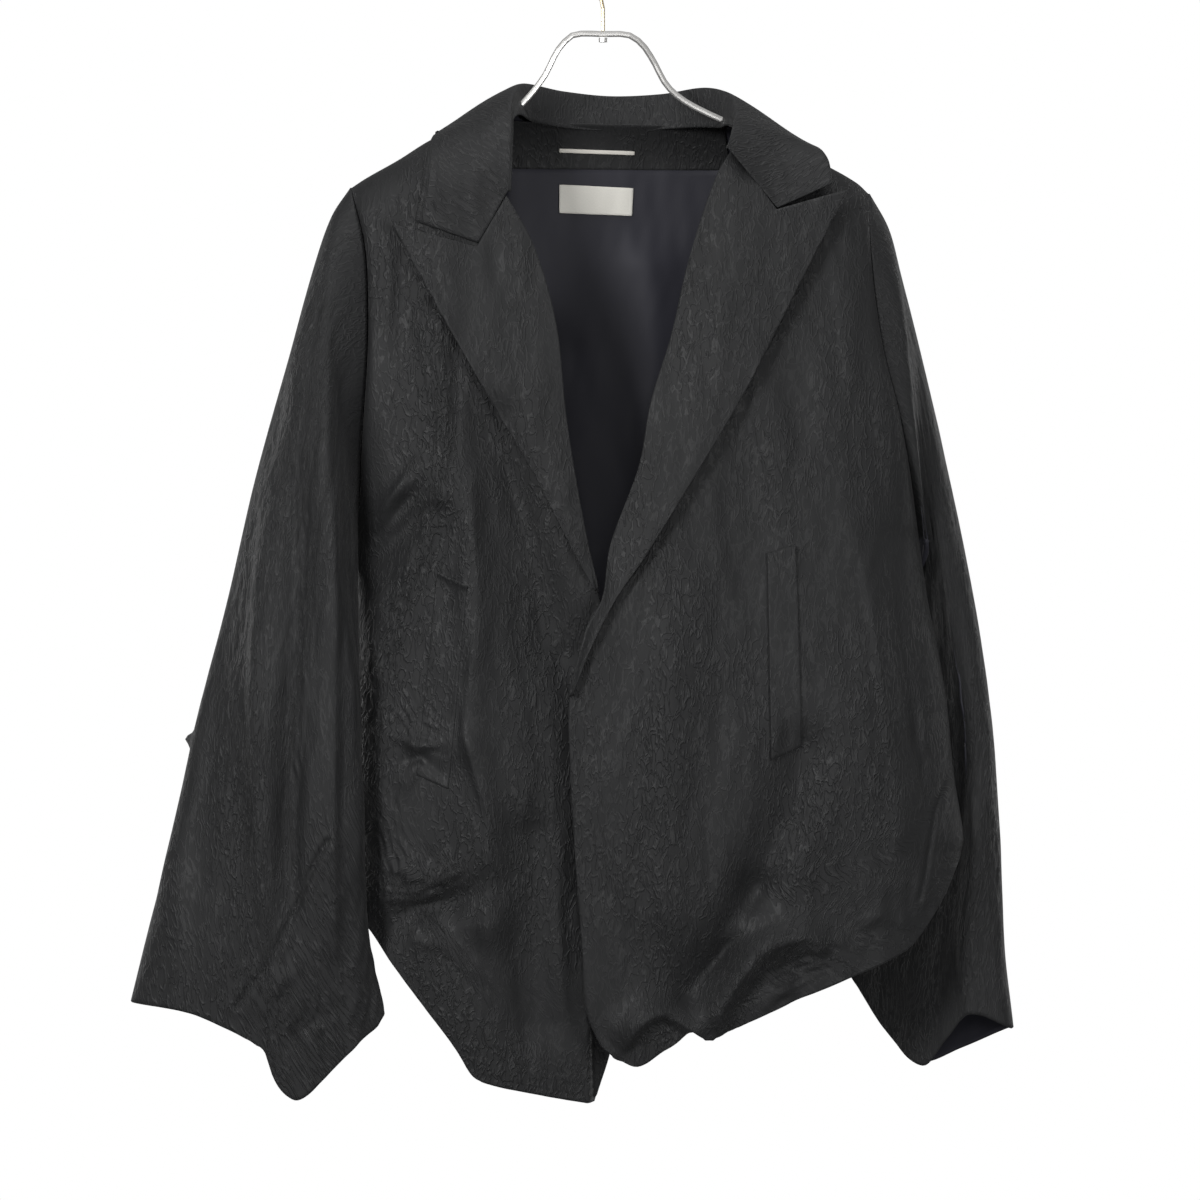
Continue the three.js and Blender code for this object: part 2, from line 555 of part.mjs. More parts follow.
// Point moved out until it is lift clear of the fronts, the shoulders and the back
function clearOfBody([x, y, z], lift) {
  const under = clamp((shoulderZ(x) + lift - z) / SHOULDER_ROUND, 0, 1);
  const round = Math.sqrt(1 - (1 - under) ** 2);
  const behind = y > axisY(x);
  const surface = behind ? backY(x, z - lift) : Math.max(leftFrontY(x, z - lift), rightFrontY(x, z - lift));
  const least = under > 0 ? Math.abs(surface - axisY(x)) + lift * round : 0;
  const away = Math.max(Math.abs(y - axisY(x)), least);
  return [x, axisY(x) + (behind ? away : -away), z];
}

// The collar: the stand rises from the neck seam to the fold, and the leaf falls outside to its edge
function collar() {
  const fold = path(COLLAR.map((row) => row.fold));
  const edge = path(COLLAR.map((row) => row.edge));
  const drops = COLLAR.map((row, index) => [index / (COLLAR.length - 1), row.drop]);
  const shareOf = path(COLLAR.map((row, index) => [...row.fold, index / (COLLAR.length - 1)]));
  const standShare = STAND_ROWS / COLLAR_STEPS[1];
  const gorge = (share) => {
    const left = 1 - share / GORGE_SHARE;
    const right = 1 - (1 - share) / GORGE_SHARE;
    if (left > 0) return { corner: LEFT_GORGE, weight: left, from: COLLAR[0] };
    if (right > 0) return { corner: RIGHT_GORGE, weight: right, from: COLLAR[COLLAR.length - 1] };
    return null;
  };
  const rows = grid(...COLLAR_STEPS, (u, v) => {
    const top = fold(u);
    const out = edge(u);
    const share = clamp(shareOf(u)[3], 0, 1);
    if (v < standShare) {
      const up = v / standShare;
      const away = Math.hypot(out[0] - top[0], out[1] - top[1]);
      const lean = (STAND_LEAN * (1 - up)) / away;
      return [
        top[0] + (top[0] - out[0]) * lean,
        top[1] + (top[1] - out[1]) * lean,
        top[2] - lookup(drops, share) * (1 - up),
      ];
    }
    const down = (v - standShare) / (1 - standShare);
    const point = mix(top, out, down);
    const behind = smooth(0.1, 0.3, share) * smooth(0.9, 0.7, share);
    point[2] += LEAF_SPRING * Math.sin(Math.PI * down) * behind;
    const bent = gorge(share);
    if (bent) {
      const straight = mix(bent.from.fold, bent.from.edge, 0.5);
      const tent = bent.weight * (1 - Math.abs(2 * down - 1));
      straight.forEach((value, axis) => { point[axis] += tent * (bent.corner[axis] - value); });
    }
    return clearOfBody(point, COLLAR_LIFT * smooth(0, 0.1, down));
  });
  return wall('collar', rows, {
    thickness: FACING,
    material: jacquard,
    facing: ([x, y], j) => (
      j < STAND_ROWS ? [CENTRE - x, NECK_MIDDLE - y, 0] : [x - CENTRE, y - NECK_MIDDLE, LEAF_LOOKS_UP]),
  });
}

jacket.add(collar());

const insideBackY = (x, z) => backY(x, z) - CLOTH;

// Flat cuts laid on the inside of the back or on a front: corners from top left, clockwise, x and z.
// lift is how far the outer face stands off that surface.
const APPLIED = [
  { name: 'neck_facing', corners: [[-78, -147], [95, -150], [105, -176], [-78, -176]], on: insideBackY,
    lift: 4.2, thickness: LINING, material: jacquard, steps: [10, 3] },
  { name: 'back_lining', corners: [[-78, -176.3], [105, -176.3], [150, -740], [-130, -740]], on: insideBackY,
    lift: 4.2, thickness: LINING, material: lining, steps: [10, 14] },
  { name: 'neck_label', corners: [[-36, -189], [25, -191.5], [24, -214], [-36, -212]], on: insideBackY,
    lift: 5.6, thickness: 0.8, material: cream, steps: [4, 2] },
  { name: 'hang_loop', corners: [[-36, -160], [26, -161.5], [26, -164], [-36, -162.5]], on: insideBackY,
    lift: 6, thickness: 1.2, material: cream, steps: [6, 1] },
  { name: 'welt_right', corners: [[133.5, -496], [156.5, -489], [161, -652], [137, -662.5]], on: rightFrontY,
    lift: 3.8, thickness: FACING, material: jacquard, steps: [3, 10] },
  { name: 'welt_left', corners: [[-133.5, -511], [-110, -522], [-125, -685], [-150, -674]], on: leftFrontY,
    lift: 3, thickness: FACING, material: jacquard, steps: [3, 10] },
];

function applied({ name, corners, on, lift, thickness, material, steps }) {
  const [topLeft, topRight, bottomRight, bottomLeft] = corners;
  const flat = patch(polyline([topLeft, topRight]), polyline([bottomLeft, bottomRight]),
    polyline([topLeft, bottomLeft]), polyline([topRight, bottomRight]));
  const rows = grid(steps[0], steps[1], (u, v) => {
    const [x, z] = flat(u, v);
    return [x, on(x, z) - lift, z];
  });
  return wall(name, rows, { thickness, material, facing: () => [0, -1, 0] });
}

APPLIED.forEach((cut) => jacket.add(applied(cut)));

// The hanger: an arch over the neck, and two arms under the shoulder seams
function hangerRoute() {
  const seat = (x) => shoulderZ(x) - CLOTH - HANGER_SEAT - HANGER_ROD;
  const armPoint = (x) => [x, axisY(x), seat(x)];
  const left = [-186, -170, -150, -130, -110, -94, -82].map(armPoint);
  const right = [112, 126, 144, 162, 180, 194, 202].map(armPoint);
  const arch = [
    [-71, -10, -130.5], [-63, -9, -123.5], [-48, -7, -104], [-38.5, -5, -85], [-32, -4, -76],
    [-23, -3, -69.5], [0, 0, -69], [21, 3, -69.5], [32, 4, -77], [41, 6, -90], [52, 7, -110], [66, 9, -122.5], [88, 12, -134],
  ];
  const route = path([...left, ...arch, ...right]);
  return Array.from({ length: 61 }, (_, step) => route(step / 60));
}

const hanger = new THREE.Group();
hanger.add(rod('hanger_frame', hangerRoute(), HANGER_ROD, 10, chrome));

// The hook: a stem up from the arch, and a round open at the lower right
function hookRoute() {
  const centre = -HOOK_RADIUS + HOOK_WIRE;
  const stem = [[0, 0, -66.2], [0, 0, -60], [0, 0, -54], [0, 0, -48], [-1.5, 0, centre - HOOK_RADIUS - 2.2]];
  const round = Array.from({ length: 23 }, (_, step) => {
    const turn = THREE.MathUtils.degToRad(255 - step * 12);
    return [HOOK_RADIUS * Math.cos(turn), 0, centre + HOOK_RADIUS * Math.sin(turn)];
  });
  return [...stem, ...round];
}

hanger.add(rod('hanger_hook', hookRoute(), HOOK_WIRE, 10, brass));
hanger.add(rod('hanger_nut', [[0, 0, -72.1], [0, 0, -75.5]], 3.6, 12, chrome));

const whole = new THREE.Group();
whole.add(jacket, hanger);
export default whole;
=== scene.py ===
import math

import bpy
import numpy as np
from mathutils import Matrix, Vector


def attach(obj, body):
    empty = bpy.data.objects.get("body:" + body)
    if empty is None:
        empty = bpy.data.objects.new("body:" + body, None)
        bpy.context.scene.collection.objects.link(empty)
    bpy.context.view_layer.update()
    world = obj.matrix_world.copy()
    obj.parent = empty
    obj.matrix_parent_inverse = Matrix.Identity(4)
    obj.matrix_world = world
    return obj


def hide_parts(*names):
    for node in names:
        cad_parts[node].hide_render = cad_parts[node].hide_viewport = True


# A jacquard jacket with wide kimono sleeves and peak lapels on a metal hanger, in a bright studio.
# Tables are in millimetres in the row frame: X to the viewer's right, Z up, the front faces -Y.
# Left and right are the viewer's.

MM = 0.001
# Thickness of the cloths, and gaps between the pieces
CLOTH = 2.0
FACING = 1.4
LINING = 1.0
SEAM_GAP = 0.3
ARMHOLE_GAP = 1.1
UNDERARM_TUCK = 0.8
# The jacket hangs turned a little, so y rises with x, and it rounds over towards the shoulder seam
YAW = 0.14
SHOULDER_ROUND = 60
# Height of the underarm, and how open the armholes stand above it
UNDERARM = -480
ARMHOLE_FULLNESS = 0.6
ARMHOLE_OPENS = 150
# How full the sides are on the left and right: 2 is an ellipse, more is blunter
FRONT_BLUNT = (2.6, 2.4)
BACK_BLUNT = (2.2, 1.5)
# Folds fade out over these widths at the side seams and the shoulders
SIDE_FADE = 25
SHOULDER_FADE = 50
# The left front steps back where the right one laps over it
LAP = 22
LAP_STARTS_Z = -440
LAP_FULL_Z = -620
LAP_STARTS_X = -110
LAP_FULL_X = -10
# The left front's lower corner turns back
TURN_LINE = -10.5
TURN_WIDTH = 2.5
TURN_DEPTH = 26
TURN_STARTS_Z = -850
TURN_FULL_Z = -875
# The small tab on the left sleeve's outer edge
PINCH = 6
PINCH_Z = -646
PINCH_HEIGHT = 4.5
PINCH_WIDTH = 6
# Share of a cuff's fall that the section above it takes, and where the sleeve's folds start
CUFF_EASE = 0.35
CROWN_FADE = 0.12
# The gusset's cloth is below this height
GUSSET_TOP = -640
# Left of this x the collar clears the left front alone
FRONTS_MEET = 16
LAPEL_GAP = 1.3
COLLAR_LIFT = 4
# The collar's stand: share of its depth, and how far it leans inward in the neck and beside it
STAND = 1 / 3
NECK_LEAN = 12
SIDE_LEAN = 2.2
# Shares of the collar's length
NECK_STARTS = (0.22, 0.32)
NECK_ENDS = (0.84, 0.76)
GORGE_SHARE = 0.14
LEAF_SWELL = 8
# Points inside the neck and far under it, to tell the collar's outer face
NECK_MIDDLE = (16, 10, 0)
BELOW_NECK = (16, 10, -400)
POCKET_LIP = 2.4
LINING_CREASED = 0.5
# Columns and rows of the grids, and how they crowd towards the edges
FRONT_GRID = (140, 300)
BACK_GRID = (150, 200)
SLEEVE_FRONT, SLEEVE_BACK, SLEEVE_RINGS = 135, 75, 210
LAPEL_GRID = (60, 140)
COLLAR_GRID = (180, 48)
SIDE_CROWD = 1.25
HEM_CROWD = 1.2
TOP_CROWD = 1.4
BACK_TOP_CROWD = 1.35
WAVE_SIZES = [90] * 8 + [48] * 10 + [26] * 12 + [15] * 12
TINY = 1e-6
FULL_TURN = 6.283
# Studio
ROOM_LIGHT = 0.12
CAMERA_AT = (-0.0025, -5.0, -0.533)
CAMERA_SENSOR = 36
FRAME_WIDTH = 0.984

SHOULDER_LINE = [
    (-205, -197), (-193, -189), (-167, -174), (-142, -158), (-109, -142), (-77, -127),
    (-40, -120), (0, -118), (60, -118), (90, -126),
    (111, -138), (137, -152), (162, -165), (186, -176), (209, -189), (219, -198),
]
LEFT_SIDE = [
    (-783, -206), (-700, -206), (-620, -205), (-540, -203), (-480, -200), (-400, -195),
    (-345, -191), (-300, -190), (-245, -193), (-197, -205),
]
RIGHT_SIDE = [
    (-741, 296), (-729, 298), (-707, 295), (-678, 290), (-610, 283), (-531, 268),
    (-477, 260), (-426, 252), (-376, 242), (-334, 231), (-285, 223), (-240, 219), (-198, 219),
]
FRONT_DEPTH = [
    (-950, 58), (-850, 72), (-700, 84), (-600, 84), (-480, 78), (-350, 68), (-250, 54), (-120, 44),
]
BACK_DEPTH = [(-950, 70), (-850, 78), (-700, 84), (-500, 82), (-350, 76), (-200, 66), (-120, 60)]
LEFT_INNER = [
    (-77, -127), (-81, -165), (-79, -207), (-57, -248), (-39, -311), (-30, -392), (-15, -480), (-5, -525),
    (12, -600), (20, -700), (18, -800), (8, -890), (-7, -943),
]
LEFT_HEM = [
    (-7, -943), (-34, -938), (-61, -932), (-90, -925), (-104, -919), (-110, -911), (-121, -893),
    (-145, -861), (-160, -841), (-174, -822), (-189, -800), (-206, -783),
]
RIGHT_INNER = [
    (111, -138), (106, -167), (93, -190), (71, -257), (56, -321), (40, -373), (30, -426), (7, -490),
    (0, -533), (-12, -556), (-26, -609), (-26, -664), (-22, -738), (-16, -820), (-14, -861), (-2, -893),
    (7, -902),
]
RIGHT_HEM = [
    (7, -902), (27, -911), (45, -901), (59, -892), (72, -883), (85, -890), (104, -882), (133, -869),
    (159, -857), (178, -850), (195, -843), (239, -824), (257, -811), (280, -776), (296, -741),
]
BACK_NECK = [
    (-77, -127), (-68, -136), (-40, -143), (0, -145), (40, -144), (80, -143), (102, -141), (111, -138),
]
BACK_HEM = [(-206, -783), (-120, -832), (30, -862), (200, -820), (268, -780), (296, -741)]
LEFT_LAPEL_TOP = [(-79, -207), (-102, -248), (-169, -230)]
LEFT_LAPEL_EDGE = [
    (-169, -230), (-153, -261), (-111, -336), (-75, -399), (-56, -431), (-35, -472), (-20, -501),
    (-7, -524),
]
RIGHT_LAPEL_TOP = [(106, -168), (141, -216), (201, -197)]
RIGHT_LAPEL_EDGE = [
    (201, -197), (192, -213), (153, -289), (111, -371), (69, -441), (33, -499), (11, -531), (-9, -570),
    (-24, -608),
]
# Collar stations: top fold, free edge, height of the stand
COLLAR = [
    ((-77, -63, -201), (-152, -62, -226), 1),
    ((-76, -62, -176), (-145, -52, -190), 5),
    ((-75, -52, -150), (-142, -34, -164), 9),
    ((-74, -27, -122), (-133, -4, -148), 16),
    ((-65, 12, -106), (-116, 42, -152), 34),
    ((-32, 46, -109), (-66, 66, -174), 34),
    ((6, 58, -112), (0, 74, -184), 32),
    ((48, 60, -110), (62, 80, -184), 33),
    ((84, 44, -106), (122, 72, -172), 36),
    ((105, 18, -116), (160, 50, -156), 28),
    ((108, -6, -134), (176, 16, -160), 10),
    ((105, -26, -150), (184, -8, -172), 8),
    ((102, -42, -164), (187, -22, -192), 1),
]
RIGHT_SIDE_SEAM = [(288, -640), (280, -682), (272, -707), (264, -756), (259, -778)]
BACK_SEAM = [(16, -150), (20, -500), (24, -860)]
GUSSET_SEAM = [(-221, -726), (-234, -750), (-245, -778), (-266, -822), (-295, -859)]
LEFT_GORGE = (-100.5, -64, -243.5)
RIGHT_GORGE = (142, -35, -213)
# Sleeve sections: outer edge, inner edge, bulge to the front and back, place of the front bulge
SLEEVE_LEFT = [
    ((-221, -38, -221), (-199.5, -46, -490), 44, 36, 0.5),
    ((-235, -44, -262), (-199, -59, -507), 50, 38, 0.5),
    ((-255, -50, -336), (-198, -76, -540), 48, 38, 0.5),
    ((-282, -58, -435), (-196, -87, -580), 44, 38, 0.5),
    ((-304, -62, -533), (-195, -93, -630), 40, 38, 0.5),
    ((-329, -66, -631), (-194, -96, -690), 38, 40, 0.5),
    ((-350, -68, -730), (-191, -96, -755), 36, 42, 0.5),
    ((-368, -68, -800), (-188, -92, -805), 34, 40, 0.5),
    ((-382, -68, -857), (-176, -82, -866), 34, 36, 0.5),
]
SLEEVE_RIGHT = [
    ((236, 38, -226), (267, 42, -487), 39, 46, 0.5),
    ((246, 44, -262), (267, 52, -499), 39, 47, 0.48),
    ((265, 54, -336), (262, 70, -519), 39, 45, 0.44),
    ((288, 64, -435), (255, 96, -556), 40, 40, 0.36),
    ((307, 72, -533), (242, 118, -612), 42, 36, 0.28),
    ((321, 78, -631), (228, 132, -674), 44, 32, 0.26),
    ((328, 80, -730), (214, 134, -736), 44, 28, 0.26),
    ((332, 80, -815), (206, 132, -792), 42, 26, 0.28),
    ((340, 78, -888), (207, 124, -847), 38, 24, 0.3),
]
CUFF_LEFT = [
    (0, -857), (0.23, -864), (0.38, -876), (0.5, -889), (0.545, -897), (0.562, -912), (0.6, -926),
    (0.66, -934), (0.72, -927), (0.78, -914), (0.9, -889), (0.97, -877), (1, -866),
]
CUFF_RIGHT = [(0, -888), (0.28, -876), (0.42, -898), (0.56, -920), (0.78, -893), (1, -847)]
CUFF_RIGHT_BEHIND = [(0, -888), (0.3, -908), (0.56, -920), (0.78, -893), (1, -847)]

# Folds as in the CAD: line, width, rise (over 0 a ridge)
LEFT_FOLDS = [
    ((-134, -311), (-131, -449), 15, 5), ((-131, -449), (-187, -587), 15, 5),
    ((-86, -392), (-43, -574), 22, -10), ((-106, -440), (-111, -643), 16, 6),
    ((-106, -660), (-93, -794), 18, 7), ((-60, -725), (-55, -875), 20, -9),
    ((-187, -474), (-146, -426), 11, 5), ((-185, -500), (-140, -462), 11, -5),
    ((-179, -800), (-93, -763), 14, -6), ((-160, -205), (-158, -330), 12, -4),
]
RIGHT_FOLDS = [
    ((164, -656), (124, -769), 22, -9), ((124, -769), (70, -850), 16, -9),
    ((124, -819), (95, -869), 11, 8), ((140, -806), (170, -816), 12, 7),
    ((62, -520), (44, -780), 34, 6), ((205, -480), (232, -760), 30, 6),
    ((110, -420), (118, -600), 30, -4),
]
BACK_FOLDS = [
    ((-120, -260), (-150, -700), 24, -8), ((-40, -330), (-70, -800), 28, 8),
    ((40, -260), (50, -780), 26, -8), ((120, -330), (160, -780), 28, 8),
]

# Creases: points along the line, width, rise, lean (over 0 the steep side is on the right of the way)
LEFT_CREASES = [
    ([(-134, -300), (-130, -360), (-133, -420), (-134, -449), (-156, -505), (-175, -550)], 6, 2.6, 0.4),
    ([(-120, -330), (-117, -380), (-121, -430)], 5, -2.2, -0.3),
    ([(-150, -420), (-168, -446), (-187, -470)], 6, 4.2, 0.5),
    ([(-148, -440), (-168, -464), (-186, -486)], 6, -5.0, -0.4),
    ([(-155, -500), (-173, -520), (-190, -548)], 6, 2.6, 0.3),
    ([(-106, -443), (-99, -530), (-112, -640), (-93, -706), (-93, -794), (-106, -850)], 8, 3.6, 0.5),
    ([(-112, -370), (-107, -480), (-102, -600)], 15, 5.0, -0.4),
    ([(-86, -392), (-62, -480), (-43, -574)], 14, -6.0, 0.4),
    ([(-70, -590), (-60, -660), (-64, -730)], 9, 2.4, -0.4),
    ([(-175, -640), (-150, -652), (-125, -648)], 5, 3.4, 0.3),
    ([(-170, -668), (-148, -660), (-126, -676)], 5, -3.2, 0.3),
    ([(-160, -690), (-150, -664), (-152, -630)], 5, 3.0, 0.2),
    ([(-174, -750), (-140, -760), (-104, -752)], 7, 4.0, 0.4),
    ([(-178, -785), (-140, -778), (-100, -768)], 7, -5.0, -0.4),
    ([(-160, -805), (-130, -812), (-100, -838)], 7, 2.6, 0.3),
    ([(-30, -700), (-38, -790), (-34, -880)], 9, 3.0, -0.3),
    ([(-72, -800), (-66, -860), (-60, -920)], 7, -2.6, 0.3),
    ([(-182, -210), (-186, -260), (-184, -320)], 4, -1.8, 0.0),
    ([(-176, -230), (-172, -280), (-176, -330)], 4, 1.6, 0.0),
]
RIGHT_CREASES = [
    ([(164, -656), (158, -706), (139, -737), (124, -769), (102, -812), (70, -850)], 11, -5.5, -0.5),
    ([(186, -640), (180, -700), (162, -745), (150, -780)], 9, 3.0, 0.4),
    ([(57, -860), (76, -846), (102, -815), (124, -800), (152, -796)], 9, -6.5, -0.3),
    ([(88, -890), (95, -869), (104, -851), (121, -828), (140, -814), (164, -806), (184, -812)],
     9, 9.0, 0.55),
    ([(112, -862), (128, -842), (148, -832), (168, -836)], 6, -5.0, 0.3),
    ([(128, -866), (142, -852), (158, -848)], 6, 4.0, 0.3),
    ([(150, -826), (166, -822), (182, -826), (190, -838)], 4, -2.6, 0.2),
    ([(14, -900), (21, -892), (28, -881), (35, -874), (43, -870), (51, -869), (59, -874),
      (73, -884), (84, -890)], 9, 13.0, 0.72),
    ([(60, -560), (50, -660), (46, -760), (56, -830)], 12, 3.4, 0.4),
    ([(96, -600), (88, -700), (86, -780)], 10, -2.8, -0.3),
    ([(206, -470), (222, -560), (236, -660), (240, -740)], 10, 3.6, 0.5),
    ([(236, -520), (250, -600), (262, -690)], 8, -3.2, -0.3),
    ([(190, -240), (196, -320), (206, -400)], 9, 2.4, 0.4),
    ([(150, -330), (160, -400), (158, -460)], 10, -2.6, 0.2),
    ([(206, -800), (226, -790), (250, -800)], 6, 2.2, 0.2),
    ([(14, -640), (22, -720), (16, -800)], 8, 2.0, -0.3),
]
BACK_CREASES = [
    ([(-120, -260), (-138, -480), (-150, -700)], 12, -4, 0.4),
    ([(-40, -330), (-52, -560), (-70, -800)], 12, 4, 0.4),
    ([(40, -260), (44, -520), (50, -780)], 12, -4, -0.3),
    ([(120, -330), (140, -560), (160, -780)], 12, 4, -0.4),
    ([(-90, -200), (-96, -300), (-90, -380)], 10, 3, 0.3),
    ([(180, -230), (196, -360), (214, -480)], 10, 3.4, 0.4),
    ([(-170, -260), (-180, -400), (-184, -520)], 10, -3, 0.2),
    ([(0, -560), (-6, -700), (4, -840)], 10, -3, 0.2),
    ([(84, -480), (96, -640), (94, -800)], 9, 3.0, 0.3),
    ([(220, -520), (236, -640), (240, -740)], 9, -3, 0.3),
]
SLEEVE_LEFT_CREASES = [
    ([(-226, -300), (-222, -420), (-217, -560), (-217, -700), (-218, -800), (-214, -850)], 10, 8.0, -0.4),
    ([(-246, -440), (-250, -580), (-254, -700), (-256, -800), (-260, -850)], 13, -11.0, 0.3),
    ([(-274, -440), (-279, -600), (-276, -720), (-270, -830)], 11, 8.0, 0.4),
    ([(-300, -480), (-314, -640), (-330, -780)], 14, -4.5, 0.3),
    ([(-322, -560), (-342, -680), (-358, -820)], 13, 4.0, 0.4),
    ([(-240, -250), (-246, -330), (-252, -400)], 12, 4.0, 0.3),
    ([(-222, -240), (-232, -320), (-236, -400)], 9, -4.0, 0.2),
    ([(-262, -350), (-272, -420), (-284, -500)], 10, -3.0, 0.2),
    ([(-236, -640), (-240, -720), (-238, -790)], 7, 3.0, 0.3),
    ([(-280, -868), (-258, -840), (-236, -820)], 7, 3.0, 0.3),
    ([(-262, -900), (-240, -876), (-214, -860)], 7, -3.0, 0.3),
]
SLEEVE_RIGHT_CREASES = [
    ([(307, -690), (305, -756), (300, -800), (298, -850)], 8, 5, 0.4),
    ([(292, -560), (294, -660), (290, -740)], 9, -4, 0.3),
    ([(250, -250), (262, -340), (276, -430)], 8, 3, 0.3),
]
SLEEVE_BACK_CREASES = [
    ([(-236, -300), (-250, -480), (-262, -700)], 12, -5, 0.3),
    ([(-280, -400), (-300, -560), (-320, -760)], 12, 4, 0.4),
    ([(-220, -520), (-226, -640), (-230, -800)], 10, 4, -0.3),
    ([(250, -300), (270, -480), (276, -700)], 12, 4, 0.3),
    ([(286, -400), (300, -560), (306, -760)], 12, -4, 0.4),
    ([(240, -600), (246, -700), (248, -800)], 10, 3, 0.3),
]

# Bands of fine wrinkles: points along the band, half width, height, spacing of the wrinkles
LEFT_CRINKLES = [
    ([(-134, -229), (-131, -310), (-134, -400), (-134, -449)], 10, 1.3, 6.0),
    ([(-134, -440), (-146, -500), (-166, -545), (-182, -600), (-188, -660)], 12, 1.7, 6.5),
    ([(-95, -300), (-82, -400), (-66, -480)], 9, 0.8, 5.5),
    ([(-72, -440), (-56, -540), (-46, -640)], 13, 0.6, 6.5),
    ([(-172, -612), (-150, -636), (-128, -650)], 14, 1.3, 7.0),
    ([(-178, -772), (-146, -766), (-100, -752)], 16, 2.4, 8.0),
    ([(-180, -690), (-168, -740), (-160, -790)], 16, 1.1, 6.5),
    ([(-40, -700), (-44, -800), (-40, -900)], 16, 0.7, 6.0),
    ([(-112, -820), (-106, -870), (-100, -915)], 12, 1.0, 6.5),
    ([(-184, -210), (-187, -300), (-186, -380)], 8, 1.0, 5.0),
]
RIGHT_CRINKLES = [
    ([(90, -890), (98, -862), (120, -832), (142, -818)], 13, 2.0, 6.5),
    ([(40, -888), (62, -880)], 11, 1.0, 5.5),
    ([(130, -850), (160, -832), (184, -820)], 12, 1.8, 7.0),
    ([(10, -780), (18, -850), (34, -880)], 12, 0.7, 6.5),
    ([(60, -560), (50, -660), (46, -760)], 14, 0.4, 6.5),
    ([(180, -640), (170, -720), (150, -790)], 14, 0.5, 6.5),
    ([(206, -560), (226, -660), (236, -760)], 12, 0.6, 6.5),
    ([(120, -470), (112, -560), (100, -640)], 14, 0.4, 6.5),
]
SLEEVE_CRINKLES = [
    ([(-240, -420), (-246, -560), (-250, -700), (-252, -820)], 11, 0.9, 6.0),
    ([(-238, -860), (-262, -880), (-254, -905)], 24, 1.4, 8.0),
    ([(-290, -480), (-300, -640), (-312, -800)], 12, 0.6, 6.0),
    ([(-244, -260), (-262, -360), (-280, -460)], 10, 0.6, 5.5),
    ([(318, -640), (322, -740), (324, -840)], 9, 0.6, 6.0),
    ([(262, -280), (286, -400), (304, -500)], 10, 0.6, 5.5),
]

# Where the woven figure stands out most, in relief and painted lighter as a painted highlight of the raised
# lines catching raking light: points along the patch, half width, strength
LEFT_FIGURE_AND_PAINTED_HIGHLIGHT = [
    ([(-134, -229), (-131, -449), (-160, -540), (-187, -600), (-188, -680)], 16, 0.8),
    ([(-110, -300), (-62, -480), (-46, -640)], 15, 0.6), ([(-178, -772), (-100, -752)], 24, 0.9),
    ([(-150, -838), (-112, -898), (-60, -926)], 26, 0.9), ([(-66, -600), (-62, -820)], 18, 0.5),
]
RIGHT_FIGURE_AND_PAINTED_HIGHLIGHT = [
    ([(62, -540), (48, -700), (40, -820)], 30, 0.6), ([(90, -890), (118, -832), (168, -812)], 16, 0.9),
    ([(184, -640), (160, -760)], 22, 0.5), ([(30, -892), (62, -884)], 14, 0.7),
    ([(214, -560), (236, -760)], 18, 0.5),
]
SLEEVE_FIGURE_AND_PAINTED_HIGHLIGHT = [
    ([(-292, -560), (-286, -700), (-280, -830)], 16, 0.7), ([(-240, -860), (-262, -884)], 62, 1.6),
    ([(-222, -720), (-216, -840)], 20, 0.7), ([(-240, -260), (-262, -420)], 16, 0.5),
    ([(322, -480), (328, -760)], 12, 0.5),
]

random = np.random.default_rng(7)


def lerp(a, b, t):
    return a + (b - a) * t


def smooth(low, high, value):
    t = np.clip((value - low) / (high - low), 0, 1)
    return t * t * (3 - 2 * t)


def lookup(rows, key):
    """Value between the rows (key, value) of a table, on a smooth curve. Keys rise."""
    rows = np.asarray(rows, float)
    keys, values = rows[:, 0], rows[:, 1]
    last = len(keys) - 1
    index = np.arange(last + 1)
    before, after = np.maximum(index - 1, 0), np.minimum(index + 1, last)
    slope = (values[after] - values[before]) / (keys[after] - keys[before])
    at = np.clip(key, keys[0], keys[-1])
    row = np.clip(np.searchsorted(keys, at, side="left") - 1, 0, last - 1)
    width = keys[row + 1] - keys[row]
    t = (at - keys[row]) / width
    start = (1 + 2 * t) * (1 - t) ** 2
    end = t * t * (3 - 2 * t)
    bend = t * (1 - t) ** 2 * slope[row] - t * t * (1 - t) * slope[row + 1]
    return start * values[row] + end * values[row + 1] + width * bend


def path(rows):
    """Smooth curve through the rows, for t from 0 to 1 by length."""
    rows = np.asarray(rows, float)
    lengths = np.concatenate([[0], np.cumsum(np.linalg.norm(np.diff(rows, axis=0), axis=1))])

    def at(t):
        key = np.asarray(t, float) * lengths[-1]
        return np.stack([lookup(np.stack([lengths, column], 1), key) for column in rows.T], -1)

    return at


def polyline(rows):
    """Straight lines through the rows, each for an equal share of t."""
    rows = np.asarray(rows, float)

    def at(t):
        place = np.asarray(t, float) * (len(rows) - 1)
        row = np.clip(np.floor(place).astype(int), 0, len(rows) - 2)
        return lerp(rows[row], rows[row + 1], (place - row)[..., None])

    return at


def patch(top, bottom, inner, outer):
    """Surface between four border curves."""

    def at(u, v):
        across = lerp(top(u), bottom(u), v[..., None])
        along = lerp(inner(v), outer(v), u[..., None])
        ends = [curve(np.array(end)) for curve in (top, bottom) for end in (0.0, 1.0)]
        high, low = lerp(ends[0], ends[1], u[..., None]), lerp(ends[2], ends[3], u[..., None])
        return across + along - lerp(high, low, v[..., None])

    return at


def squares(columns, rows):
    """u and v from 0 to 1 on a grid of rows by columns."""
    return np.meshgrid(np.linspace(0, 1, columns + 1), np.linspace(0, 1, rows + 1))


def closer(share, power):
    """Share from 0 to 1 whose steps crowd towards 1."""
    return 1 - (1 - share) ** power


def bell(away, width):
    return np.exp(-((away / width) ** 2))


def ends_fade(share, power):
    """Weight along a line that falls off at both ends."""
    return np.sin(math.pi * np.clip(share, 0.02, 0.98)) ** power


